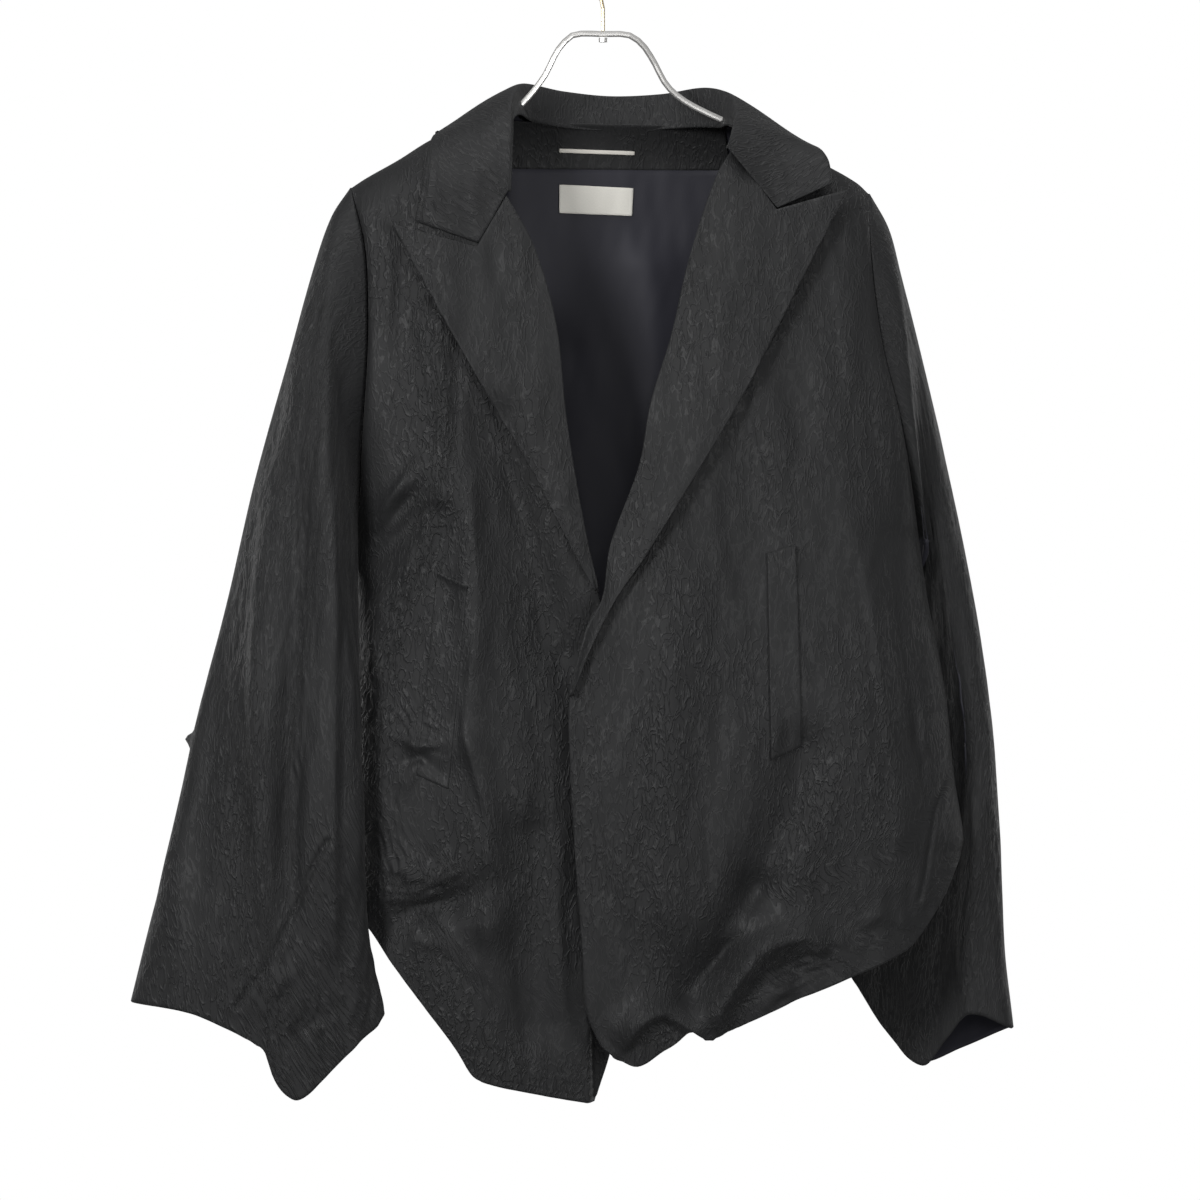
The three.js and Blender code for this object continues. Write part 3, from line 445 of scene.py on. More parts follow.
def unit(vectors):
    return vectors / np.maximum(np.linalg.norm(vectors, axis=-1, keepdims=True), 1e-9)


def axis_y(x):
    return YAW * x


def shoulder_z(x):
    return lookup(SHOULDER_LINE, x)


def along_line(points, x, z):
    """Signed distance from x, z to a line of points, and the share of its length at the nearest place."""
    points = np.asarray(points, float)
    lengths = np.linalg.norm(np.diff(points, axis=0), axis=1)
    total, done = lengths.sum(), 0.0
    best = np.full(x.shape, np.inf)
    signed, share = np.zeros(x.shape), np.zeros(x.shape)
    for (ax, az), (bx, bz), length in zip(points[:-1], points[1:], lengths):
        t = np.clip(((x - ax) * (bx - ax) + (z - az) * (bz - az)) / length**2, 0, 1)
        dx, dz = x - ax - t * (bx - ax), z - az - t * (bz - az)
        away = np.hypot(dx, dz)
        side = np.sign((bx - ax) * (z - az) - (bz - az) * (x - ax))
        near = away < best
        best = np.where(near, away, best)
        signed = np.where(near, away * side, signed)
        share = np.where(near, (done + t * length) / total, share)
        done += length
    return signed, share


def fold_rise(folds, x, z):
    total = np.zeros(x.shape)
    for start, end, width, rise in folds:
        away, _ = along_line([start, end], x, z)
        total += rise * bell(away, width)
    return total


def crease_rise(creases, x, z):
    """Soft ridges and troughs with one steep side, that fade out at both ends."""
    total = np.zeros(x.shape)
    for order, (points, width, rise, lean) in enumerate(creases):
        away, share = along_line(points, x, z)
        own = width * np.where(away > 0, 1 + lean, 1 - lean)
        uneven = 1 + 0.25 * np.sin(9 * share + 1.7 * order)
        total += rise * ends_fade(share, 0.6) * uneven * bell(away, own)
    return total


def crinkle_rise(bands, x, z):
    """Short crooked wrinkles that run along their band."""
    total = np.zeros(x.shape)
    for order, (points, width, height, spacing) in enumerate(bands):
        away, share = along_line(points, x, z)
        length = np.linalg.norm(np.diff(np.asarray(points, float), axis=0), axis=1).sum()
        run = share * length
        sway = 0.9 * np.sin(run / 11 + order) + 0.7 * np.sin(run / 5.3 + away / 6 + 2 * order)
        streak = np.sin(FULL_TURN * away / spacing + 1.6 * sway)
        breaks = 0.55 + 0.45 * np.sin(run / 3.9 + 2.2 * np.sin(away / 3.1 + order) + order)
        total += height * streak * breaks * ends_fade(share, 0.5) * bell(away, width)
    return total


def figured(patches, x, z):
    """How strongly the woven figure shows, in relief and as a lighter painted highlight, from 0 up."""
    total = np.zeros(x.shape)
    for points, width, strength in patches:
        away, share = along_line(points, x, z)
        total = np.maximum(total, strength * ends_fade(share, 0.3) * bell(away, width))
    return total


def seam_rise(points, x, z, width=1.8, depth=1.3):
    """Groove of a seam along a line, with a faint roll beside it."""
    away, _ = along_line(points, x, z)
    return -depth * bell(away, width) + 0.45 * depth * bell(np.abs(away) - 5, 3)


WAVES = [(random.uniform(-1, 1, 2), random.uniform(0, 6.28), size) for size in WAVE_SIZES]


def ripple(x, z, height=1.0):
    """Faint unevenness of hanging cloth, mostly along the drop."""
    total = np.zeros(x.shape)
    for (across, down), phase, size in WAVES:
        turn = FULL_TURN / size * (x * (0.8 + 0.2 * abs(across)) * np.sign(across) + z * 0.45 * down)
        total += np.sin(turn + phase + 1.5 * np.sin(z / (size * 1.9) + phase)) * size * 0.0045
    return height * total


def half_depth(x, z, depths, left_blunt, right_blunt):
    """How far the front or back stands off the shoulder seam's plane."""
    left, right = lookup(LEFT_SIDE, z), lookup(RIGHT_SIDE, z)
    share = np.clip((2 * x - left - right) / (right - left), -1, 1)
    blunt = np.where(share < 0, left_blunt, right_blunt)
    roundness = (1 - np.abs(share) ** blunt) ** (1 / blunt)
    below = np.clip((shoulder_z(x) - z) / SHOULDER_ROUND, 0, 1)
    top = np.sqrt(1 - (1 - below) ** 2)
    opened = np.clip((z - UNDERARM) / ARMHOLE_OPENS, 0, 1)
    arm = ARMHOLE_FULLNESS * np.sin(math.pi / 2 * opened)
    return lookup(depths, z) * top * (arm + (1 - arm) * roundness)


def fold_fade(x, z):
    side = np.minimum(x - lookup(LEFT_SIDE, z), lookup(RIGHT_SIDE, z) - x)
    return smooth(0, SIDE_FADE, side) * smooth(0, SHOULDER_FADE, shoulder_z(x) - z)


def lap_depth(x, z):
    return LAP * smooth(LAP_STARTS_Z, LAP_FULL_Z, z) * smooth(LAP_STARTS_X, LAP_FULL_X, x)


def turned_edge(x, z):
    """The lower corner of the left front turns back along a sharp line."""
    across = smooth(TURN_LINE, TURN_LINE + TURN_WIDTH, x)
    return TURN_DEPTH * across * smooth(TURN_STARTS_Z, TURN_FULL_Z, z)


def left_front_y(x, z):
    rise = fold_rise(LEFT_FOLDS, x, z) + crease_rise(LEFT_CREASES, x, z) + ripple(x, z)
    rise += crinkle_rise(LEFT_CRINKLES, x, z)
    flat = axis_y(x) - half_depth(x, z, FRONT_DEPTH, *FRONT_BLUNT) + lap_depth(x, z)
    return flat + turned_edge(x, z) - rise * fold_fade(x, z)


def right_front_y(x, z):
    rise = fold_rise(RIGHT_FOLDS, x, z) + crease_rise(RIGHT_CREASES, x, z) + ripple(x + 400, z)
    rise += crinkle_rise(RIGHT_CRINKLES, x, z)
    return axis_y(x) - half_depth(x, z, FRONT_DEPTH, *FRONT_BLUNT) - rise * fold_fade(x, z)


def back_y(x, z, creased=1.0):
    rise = fold_rise(BACK_FOLDS, x, z) + creased * (crease_rise(BACK_CREASES, x, z) + ripple(x + 900, z))
    return axis_y(x) + half_depth(x, z, BACK_DEPTH, *BACK_BLUNT) + rise * fold_fade(x, z)


def grid_normals(rows, around):
    if around:
        across = np.roll(rows, -1, 1) - np.roll(rows, 1, 1)
    else:
        across = np.gradient(rows, axis=1)
    return unit(np.cross(across, np.gradient(rows, axis=0)))


def facing_normals(rows, facing, around=False):
    normal = grid_normals(rows, around)
    return normal * (1 if np.sum(normal * facing) > 0 else -1)


def cloth_uv(rows, around, plain):
    """Places on the cloth in metres: across and down its grain."""
    if around:
        rows = np.concatenate([rows, rows[:, :1]], 1)
    across = np.diff(rows, axis=1)
    down = np.diff(rows, axis=0)
    if plain:
        step = np.hypot(across[..., 0], across[..., 1]) * np.sign(np.sum(across[..., 0]))
        u = np.concatenate([rows[:, :1, 0], rows[:, :1, 0] + np.cumsum(step, 1)], 1)
        drop = np.hypot(down[..., 1], down[..., 2])
        v = np.concatenate([-rows[:1, :, 2], -rows[:1, :, 2] + np.cumsum(drop, 0)], 0)
    else:
        u = np.concatenate([np.zeros((len(rows), 1)), np.cumsum(np.linalg.norm(across, axis=-1), 1)], 1)
        u = u - u[:, u.shape[1] // 2, None]
        v = np.concatenate([np.zeros((1, rows.shape[1])), np.cumsum(np.linalg.norm(down, axis=-1), 0)], 0)
    return np.stack([u, -v], -1) * MM


def shell(name, rows, thickness, facing, materials, around=False, plain=True, figure=0.0, outer_index=None):
    """Closed thin shell on a grid of points in millimetres, with rounded rims.
    The points are its outer face. Materials are for the outer face and rims, the inner face, and more.
    The attribute "figure" says where on the outer face the woven figure stands out, in relief and as a
    painted highlight."""
    rows = np.asarray(rows, float)
    normal = facing_normals(rows, facing, around)
    inner = rows - thickness * normal
    tall, wide = rows.shape[:2]
    uv = cloth_uv(rows, around, plain)
    flip = np.sum(grid_normals(rows, around) * normal) < 0
    j, i = np.meshgrid(np.arange(tall - 1), np.arange(wide if around else wide - 1), indexing="ij")
    j, i = j.ravel(), i.ravel()
    nxt = (i + 1) % wide
    outer_quads = np.stack([j * wide + i, (j + 1) * wide + i, (j + 1) * wide + nxt, j * wide + nxt], 1)
    outer_uv = np.stack([uv[j, i], uv[j + 1, i], uv[j + 1, i + 1], uv[j, i + 1]], 1)
    count = tall * wide
    faces, face_uv = [outer_quads, outer_quads[:, ::-1] + count], [outer_uv, outer_uv[:, ::-1]]
    index = [np.zeros(len(j), int) if outer_index is None else outer_index[: len(j)], np.ones(len(j), int)]
    vertices = [rows.reshape(-1, 3), inner.reshape(-1, 3)]
    base = 2 * count

    def rim(line, line_uv, away):
        """Rounded border along a closed line of grid indices."""
        nonlocal base
        middle = (vertices[0][line] + vertices[1][line]) / 2 + away * thickness * 0.42
        vertices.append(middle)
        size = len(line)
        k = np.arange(size)
        n = (k + 1) % size
        m = base + k
        mn = base + n
        base += size
        first = np.stack([line[k], line[n], mn, m], 1)
        second = np.stack([m, mn, line[n] + count, line[k] + count], 1)
        uvs = np.stack([line_uv[k], line_uv[k + 1], line_uv[k + 1], line_uv[k]], 1)
        faces.extend([first, second])
        face_uv.extend([uvs, uvs])
        index.extend([np.zeros(len(k), int)] * 2)

    def away_from(line, inside):
        return unit(vertices[0][line] - vertices[0][inside])

    top = np.arange(wide)
    bottom = (tall - 1) * wide + np.arange(wide)
    top_away, bottom_away = away_from(top, top + wide), away_from(bottom, bottom - wide)
    if around:
        rim(top, uv[0], top_away)
        rim(bottom[::-1], np.concatenate([uv[-1][::-1][1:], uv[-1][::-1][-1:]]), bottom_away[::-1])
    else:
        left = np.arange(tall) * wide
        right = left + wide - 1
        loop = np.concatenate([top, right[1:], bottom[::-1][1:], left[::-1][1:-1]])
        inside = np.concatenate([top + wide, right[1:] - 1, bottom[::-1][1:] - wide, left[::-1][1:-1] + 1])
        inside[wide - 1] = wide + wide - 2
        inside[0] = wide + 1
        border_uv = uv[:tall, :wide].reshape(-1, 2)[loop]
        rim(loop, np.concatenate([border_uv, border_uv[:1]]), away_from(loop, inside))
    vertices = np.concatenate(vertices) * MM
    faces, face_uv, index = np.concatenate(faces), np.concatenate(face_uv), np.concatenate(index)
    if not flip:
        faces, face_uv = faces[:, ::-1], face_uv[:, ::-1]
    mesh = bpy.data.meshes.new(name)
    mesh.from_pydata(vertices.tolist(), [], faces.tolist())
    layer = mesh.uv_layers.new(name="grain")
    layer.data.foreach_set("uv", face_uv.reshape(-1).astype(np.float32))
    # Where the figure shows in relief and as a painted highlight
    figure_and_painted_highlight = np.zeros(len(vertices), np.float32)
    figure_and_painted_highlight[:count] = (np.zeros(rows.shape[:2]) + figure).ravel()
    mesh.attributes.new("figure", "FLOAT", "POINT").data.foreach_set("value", figure_and_painted_highlight)
    for material in materials:
        mesh.materials.append(material)
    mesh.polygons.foreach_set("material_index", index.astype(np.int32))
    mesh.polygons.foreach_set("use_smooth", np.ones(len(faces), bool))
    mesh.update()
    corner = [vertices[faces[:, number]] for number in range(4)]
    crossed = np.cross(corner[1], corner[2]) + np.cross(corner[2], corner[3])
    if np.sum(corner[0] * crossed) < 0:
        mesh.flip_normals()
    obj = bpy.data.objects.new(name, mesh)
    bpy.context.scene.collection.objects.link(obj)
    return obj


def settle(obj, node):
    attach(obj, "root")
    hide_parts(node)


# Materials


class Nodes:
    """Short way to build a material's nodes."""

    def __init__(self, name):
        self.material = bpy.data.materials.new(name)
        self.material.use_nodes = True
        self.tree = self.material.node_tree
        self.surface = self.tree.nodes["Principled BSDF"]

    def add(self, kind):
        return self.tree.nodes.new(kind)

    def link(self, source, target):
        self.tree.links.new(source, target)

    def math(self, operation, first, second=0):
        node = self.add("ShaderNodeMath")
        node.operation = operation
        for socket, value in zip(node.inputs, (first, second)):
            if isinstance(value, (int, float)):
                socket.default_value = value
            else:
                self.link(value, socket)
        return node.outputs[0]

    def set(self, **values):
        for key, value in values.items():
            self.surface.inputs[key.replace("_", " ")].default_value = value

    def place(self, scale, turn=0.0):
        """The cloth's own coordinates, scaled and turned."""
        uv = self.add("ShaderNodeUVMap")
        uv.uv_map = "grain"
        mapping = self.add("ShaderNodeMapping")
        mapping.vector_type = "TEXTURE"
        mapping.inputs["Scale"].default_value = (1 / scale[0], 1 / scale[1], 1)
        mapping.inputs["Rotation"].default_value = (0, 0, turn)
        self.link(uv.outputs[0], mapping.inputs["Vector"])
        return mapping.outputs[0]

    def noise(self, vector, scale, detail=0.0, distortion=0.0):
        node = self.add("ShaderNodeTexNoise")
        node.inputs["Scale"].default_value = scale
        node.inputs["Detail"].default_value = detail
        node.inputs["Distortion"].default_value = distortion
        self.link(vector, node.inputs["Vector"])
        return node.outputs["Fac"]

    def steps(self, value, low, high, out_low=0.0, out_high=1.0):
        node = self.add("ShaderNodeMapRange")
        node.interpolation_type = "SMOOTHSTEP"
        ends = {"From Min": low, "From Max": high, "To Min": out_low, "To Max": out_high}
        for key, number in ends.items():
            node.inputs[key].default_value = number
        self.link(value, node.inputs["Value"])
        return node.outputs[0]

    def blend(self, share, first, second):
        node = self.add("ShaderNodeMix")
        node.data_type = "RGBA"
        self.link(share, node.inputs["Factor"])
        node.inputs["A"].default_value = (*first, 1)
        node.inputs["B"].default_value = (*second, 1)
        return node.outputs["Result"]

    def bump(self, height, distance, strength=1.0):
        node = self.add("ShaderNodeBump")
        node.inputs["Distance"].default_value = distance
        node.inputs["Strength"].default_value = strength
        self.link(height, node.inputs["Height"])
        self.link(node.outputs[0], self.surface.inputs["Normal"])


# The figure's colour is lighter than the ground: partly the woven yarn, partly a painted highlight of its
# raised lines
JACQUARD_GROUND = (0.0122, 0.0125, 0.0132)
JACQUARD_FIGURE_AND_PAINTED_HIGHLIGHT = (0.0175, 0.0178, 0.0185)
JACQUARD_RELIEF = 0.0011
FIGURE_SCALE = 200
WEAVE_SCALE = 1700
PATCH_SCALE = 17


def jacquard(name, turn=0.0, size=1.0):
    """Black figured cloth: thin wandering raised lines, mostly down the cloth, strongest where the
    attribute "figure" is high. Where they show, the lines are painted lighter: a painted highlight of the
    relief catching the light."""
    n = Nodes(name)
    strokes = n.noise(n.place((1.0, 0.4), turn), FIGURE_SCALE / size, detail=1.0, distortion=0.8)
    figure = n.steps(n.math("ABSOLUTE", n.math("SUBTRACT", strokes, 0.5)), 0.0, 0.1, 1.0, 0.0)
    weave = n.noise(n.place((1, 1), turn), WEAVE_SCALE, detail=1.0)
    # Strength of the figure from the mesh: its relief and its painted highlight
    figure_and_painted_highlight = n.add("ShaderNodeAttribute")
    figure_and_painted_highlight.attribute_name = "figure"
    patches = n.steps(n.noise(n.place((1, 0.5)), PATCH_SCALE, detail=2.0), 0.36, 0.64, 0.1, 0.5)
    patches = n.math("ADD", patches, figure_and_painted_highlight.outputs["Fac"])
    wide = n.noise(n.place((1, 1)), 9, detail=2.0)
    raised = n.math("MULTIPLY", figure, patches)
    # Base colour lighter on the raised lines: a painted highlight where the figure shows
    n.link(n.blend(raised, JACQUARD_GROUND, JACQUARD_FIGURE_AND_PAINTED_HIGHLIGHT), n.surface.inputs["Base Color"])
    gloss = n.math("ADD", n.steps(figure, 0, 1, 0.62, 0.48), n.math("MULTIPLY", wide, 0.12))
    n.link(gloss, n.surface.inputs["Roughness"])
    height = n.math("ADD", raised, n.math("MULTIPLY", weave, 0.12))
    n.bump(height, JACQUARD_RELIEF, 0.9)
    n.set(Sheen_Weight=0.05, Sheen_Roughness=0.4, Sheen_Tint=(1, 1, 1, 1), Specular_IOR_Level=0.35)
    return n.material


def satin(name, colour, roughness):
    n = Nodes(name)
    weave = n.noise(n.place((1, 0.25)), 900, detail=1.0)
    wide = n.noise(n.place((1, 1)), 18, detail=2.0)
    n.link(n.math("ADD", n.math("MULTIPLY", wide, 0.12), roughness - 0.06), n.surface.inputs["Roughness"])
    n.bump(weave, 0.00008, 0.5)
    n.set(Base_Color=(*colour, 1), Sheen_Weight=0.1, Sheen_Roughness=0.4, Specular_IOR_Level=0.3)
    return n.material


def ribbon(name, colour, roughness):
    n = Nodes(name)
    weave = n.noise(n.place((1, 0.4)), 1800, detail=1.0)
    n.link(n.blend(weave, tuple(c * 0.86 for c in colour), colour), n.surface.inputs["Base Color"])
    n.bump(weave, 0.00015, 0.6)
    n.set(Roughness=roughness)
    return n.material


def metal(name, colour, roughness):
    n = Nodes(name)
    place = n.add("ShaderNodeTexCoord")
    wear = n.noise(place.outputs["Object"], 60, detail=3.0)
    n.link(n.math("ADD", n.math("MULTIPLY", wear, 0.08), roughness - 0.04), n.surface.inputs["Roughness"])
    n.set(Base_Color=(*colour, 1), Metallic=0.7)
    return n.material


# Scene

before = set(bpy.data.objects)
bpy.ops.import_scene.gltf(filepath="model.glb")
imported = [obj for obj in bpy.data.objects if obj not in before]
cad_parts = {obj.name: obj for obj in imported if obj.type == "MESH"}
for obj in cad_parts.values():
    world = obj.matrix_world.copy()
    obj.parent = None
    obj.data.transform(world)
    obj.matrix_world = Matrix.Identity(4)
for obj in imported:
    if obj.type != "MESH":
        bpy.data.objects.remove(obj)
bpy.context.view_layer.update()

cloth = jacquard("jacquard")
cloth_gusset = jacquard("jacquard_gusset", turn=1.25, size=1.5)
inside = satin("lining", (0.027, 0.027, 0.036), 0.6)
cream = ribbon("label", (0.88, 0.86, 0.79), 0.8)
ivory = ribbon("loop", (0.75, 0.72, 0.66), 0.45)
chrome = metal("rod", (0.8, 0.79, 0.77), 0.3)
brass = metal("hook", (0.7, 0.58, 0.38), 0.25)


def front(node, inner, side, hem, surface_y, seams, patches):
    middle = inner[0][0]
    line = [(x, z) for x, z in SHOULDER_LINE if (x < middle - 3 if middle < 0 else x > middle + 3)]
    seam = path([inner[0], *(line[::-1] if middle < 0 else line)])
    outer = path([(x, z) for z, x in side][::-1])
    u, v = squares(*FRONT_GRID)
    surface = patch(seam, path(hem), path(inner), outer)
    place = surface(closer(u, SIDE_CROWD), closer(v**TOP_CROWD, HEM_CROWD))
    x, z = place[..., 0], place[..., 1]
    y = surface_y(x, z)
    for line in seams:
        y = y - seam_rise(line, x, z)
    y = np.where(v == 0, axis_y(x), y)
    rows = np.stack([x, np.minimum(y, axis_y(x)) - SEAM_GAP / 2, z], -1)
    # Strength of the figure's relief and of its painted highlight on this piece
    figure = figured(patches, x, z)
    obj = shell(node + "_cloth", rows, CLOTH, np.array([0, -1, 0]), [cloth, inside], figure=figure)
    settle(obj, node)


front("front_left", LEFT_INNER, LEFT_SIDE, LEFT_HEM, left_front_y, [], LEFT_FIGURE_AND_PAINTED_HIGHLIGHT)
front("front_right", RIGHT_INNER, RIGHT_SIDE, RIGHT_HEM, right_front_y, [RIGHT_SIDE_SEAM], RIGHT_FIGURE_AND_PAINTED_HIGHLIGHT)


def back():
    """One piece, seamed to both fronts at the shoulders and sides."""
    top = path([*[row for row in SHOULDER_LINE if row[0] < -80], *BACK_NECK,
                *[row for row in SHOULDER_LINE if row[0] > 112]])
    left_side = path([(x, z) for z, x in LEFT_SIDE][::-1])
    right_side = path([(x, z) for z, x in RIGHT_SIDE][::-1])
    u, v = squares(*BACK_GRID)
    both = 0.5 + 0.5 * np.sign(u - 0.5) * closer(np.abs(2 * u - 1), SIDE_CROWD)
    place = patch(top, path(BACK_HEM), left_side, right_side)(both, v**BACK_TOP_CROWD)
    x, z = place[..., 0], place[..., 1]
    y = back_y(x, z) + seam_rise(BACK_SEAM, x, z, 1.8, 1.0)
    on_seam = (v == 0) & ((x < -76) | (x > 110))
    y = np.where(on_seam, axis_y(x), y)
    rows = np.stack([x, np.maximum(y, axis_y(x)) + SEAM_GAP / 2, z], -1)
    obj = shell("back_cloth", rows, CLOTH, np.array([0, 1, 0]), [cloth, inside])
    settle(obj, "back")


back()


def sleeve(node, side, front_y, sections, cuffs, corners, creases, uneven, gusset=None):
    """A tube from the armhole through its sections, round from the shoulder by the front."""
    tip = side[-1]
    outward = -1 if tip[1] < 0 else 1
    front_half = np.arange(SLEEVE_FRONT) / SLEEVE_FRONT
    back_half = 1 + np.arange(SLEEVE_BACK) / SLEEVE_BACK
    turn = math.pi * np.concatenate([front_half, back_half])
    drop = (1 - np.cos(turn)) / 2
    z = lerp(tip[0], UNDERARM, drop)
    x = lookup(side, z)
    y = np.where(turn <= math.pi, front_y(x, z), back_y(x, z))
    y[0] = axis_y(x[0])
    stops = [np.stack([x + outward * lerp(ARMHOLE_GAP, -UNDERARM_TUCK, drop**3), y, z], -1)]
    for number, (out, inn, to_front, to_back, at) in enumerate(sections):
        out, inn = np.array(out, float), np.array(inn, float)
        middle = (out + inn) / 2
        front_point = lerp(out, inn, at) - (0, to_front, 0)
        back_point = middle + (0, to_back, 0)
        loop = np.array([out, front_point, inn, back_point])
        quarter = np.minimum(3, (turn // (math.pi / 2)).astype(int))
        local = turn - quarter * math.pi / 2
        blunt = lerp(2, np.array(corners)[quarter], smooth(0, 4, number))
        from_share = np.maximum(0, np.cos(local)) ** (2 / blunt)
        to_share = np.maximum(0, np.sin(local)) ** (2 / blunt)
        start, end = loop[quarter], loop[(quarter + 1) % 4]
        stops.append(middle + (start - middle) * from_share[:, None] + (end - middle) * to_share[:, None])
    stops = np.array(stops)
    outer_x, inner_x = sections[-1][0][0], sections[-1][1][0]
    share = np.clip((stops[-1, :, 0] - outer_x) / (inner_x - outer_x), 0, 1)
    fall = np.where(turn <= math.pi, lookup(cuffs[0], share), lookup(cuffs[1], share)) - stops[-1, :, 2]
    stops[-1, :, 2] += fall
    stops[-2, :, 2] += fall * CUFF_EASE
    down = np.linspace(0, 1, SLEEVE_RINGS + 1)
    rows = np.stack([path(stops[:, column])(down) for column in range(len(turn))], 1)
    centre = rows.mean(1, keepdims=True)
    normal = facing_normals(rows, rows - centre, True)
    fade = smooth(0, CROWN_FADE, down)[:, None]
    ahead = smooth(0.1, 0.6, -normal[..., 1])
    behind = smooth(0.1, 0.6, normal[..., 1])
    rise = crease_rise(creases, rows[..., 0], rows[..., 2]) * ahead
    rise += crease_rise(SLEEVE_BACK_CREASES, rows[..., 0], rows[..., 2]) * behind
    rise += crinkle_rise(SLEEVE_CRINKLES, rows[..., 0], rows[..., 2]) * ahead
    closed = np.concatenate([rows, rows[:, :1]], 1)
    girth = np.cumsum(np.linalg.norm(np.diff(closed, axis=1), axis=-1), 1)
    rise += ripple(girth, rows[..., 2], uneven) * np.sin(turn / 2) ** 0.5
    rise *= fade
    outer_index = None
    if gusset is not None:
        rise += seam_rise(gusset, rows[..., 0], rows[..., 2], 2.2, 2.6) * ahead
        pinched = bell(rows[..., 2] - PINCH_Z, PINCH_HEIGHT)
        rise += PINCH * pinched * bell(girth - girth[:, :1], PINCH_WIDTH)
        away, _ = along_line(gusset, rows[..., 0], rows[..., 2])
        mask = (away > 0) & (rows[..., 2] < GUSSET_TOP) & (ahead > 0)
        outer_index = np.where(mask[:-1], 2, 0).ravel()
    rows = rows + normal * rise[..., None]
    # Strength of the figure's relief and of its painted highlight on this piece
    figure = figured(SLEEVE_FIGURE_AND_PAINTED_HIGHLIGHT, rows[..., 0], rows[..., 2]) * ahead
    obj = shell(node + "_cloth", rows, CLOTH, rows - centre, [cloth, inside, cloth_gusset], around=True,
                plain=False, figure=figure, outer_index=outer_index)
    settle(obj, node)


sleeve("sleeve_left", LEFT_SIDE, left_front_y, SLEEVE_LEFT, (CUFF_LEFT, CUFF_LEFT), (2, 2, 2, 2),
       SLEEVE_LEFT_CREASES, 0.9, gusset=GUSSET_SEAM)
sleeve("sleeve_right", RIGHT_SIDE, right_front_y, SLEEVE_RIGHT, (CUFF_RIGHT, CUFF_RIGHT_BEHIND),
       (1.5, 1.2, 1.8, 1.8), SLEEVE_RIGHT_CREASES, 0.5)


def lapel(node, inner, first_row, last_row, top, edge, surface_y, stand):
    """Turned back along some rows of the front's inner edge, in a roll."""
    roll = path(inner[first_row:last_row + 1])
    bottom = polyline([inner[last_row], edge[-1]])
    u, v = squares(*LAPEL_GRID)
    place = patch(polyline(top), bottom, roll, path(edge))(u, v)
    x, z = place[..., 0], place[..., 1]
    lift = FACING + LAPEL_GAP
    rise = lift + stand * np.sin(math.pi / 2 * u) * (1 - v * v * 0.6)
    y = surface_y(x, z) - SEAM_GAP / 2 - rise
    rows = np.stack([x, y, z], -1)
    roll_rows = []
    for turn in np.linspace(math.pi, 0, 8)[:-1]:
        out = lift / 2 * math.sin(turn) * 1.5
        step = rows[:, :1] + np.array([0, lift / 2 * (1 - math.cos(turn)), 0])
        direction = rows[:, :1] - rows[:, 3:4]
        direction[..., 1] = 0
        roll_rows.append(step + unit(direction) * out)
    rows = np.concatenate([*roll_rows, rows], 1)
    obj = shell(node + "_cloth", rows, FACING, np.array([0, -1, 0]), [cloth, cloth])
    settle(obj, node)


lapel("lapel_left", LEFT_INNER, 2, 7, LEFT_LAPEL_TOP, LEFT_LAPEL_EDGE, left_front_y, 6)
lapel("lapel_right", RIGHT_INNER, 1, 10, RIGHT_LAPEL_TOP, RIGHT_LAPEL_EDGE, right_front_y, 12)


def clear_of_body(points, lift):
    """Points moved out in y until they are lift off the jacket."""
    x, y, z = points[..., 0], points[..., 1], points[..., 2]
    under = np.clip((shoulder_z(x) + lift - z) / SHOULDER_ROUND, 0, 1)
    roundness = np.sqrt(1 - (1 - under) ** 2)
    behind = y > axis_y(x)
    ahead_y = np.minimum(left_front_y(x, z - lift), right_front_y(x, z - lift))
    ahead_y = np.where(x < FRONTS_MEET, left_front_y(x, z - lift), ahead_y)
    surface = np.where(behind, back_y(x, z - lift), ahead_y)
    least = np.where(under > 0, np.abs(surface - axis_y(x)) + lift * roundness, 0)
    away = np.maximum(np.abs(y - axis_y(x)), least)
    return np.stack([x, axis_y(x) + np.where(behind, away, -away), z], -1)


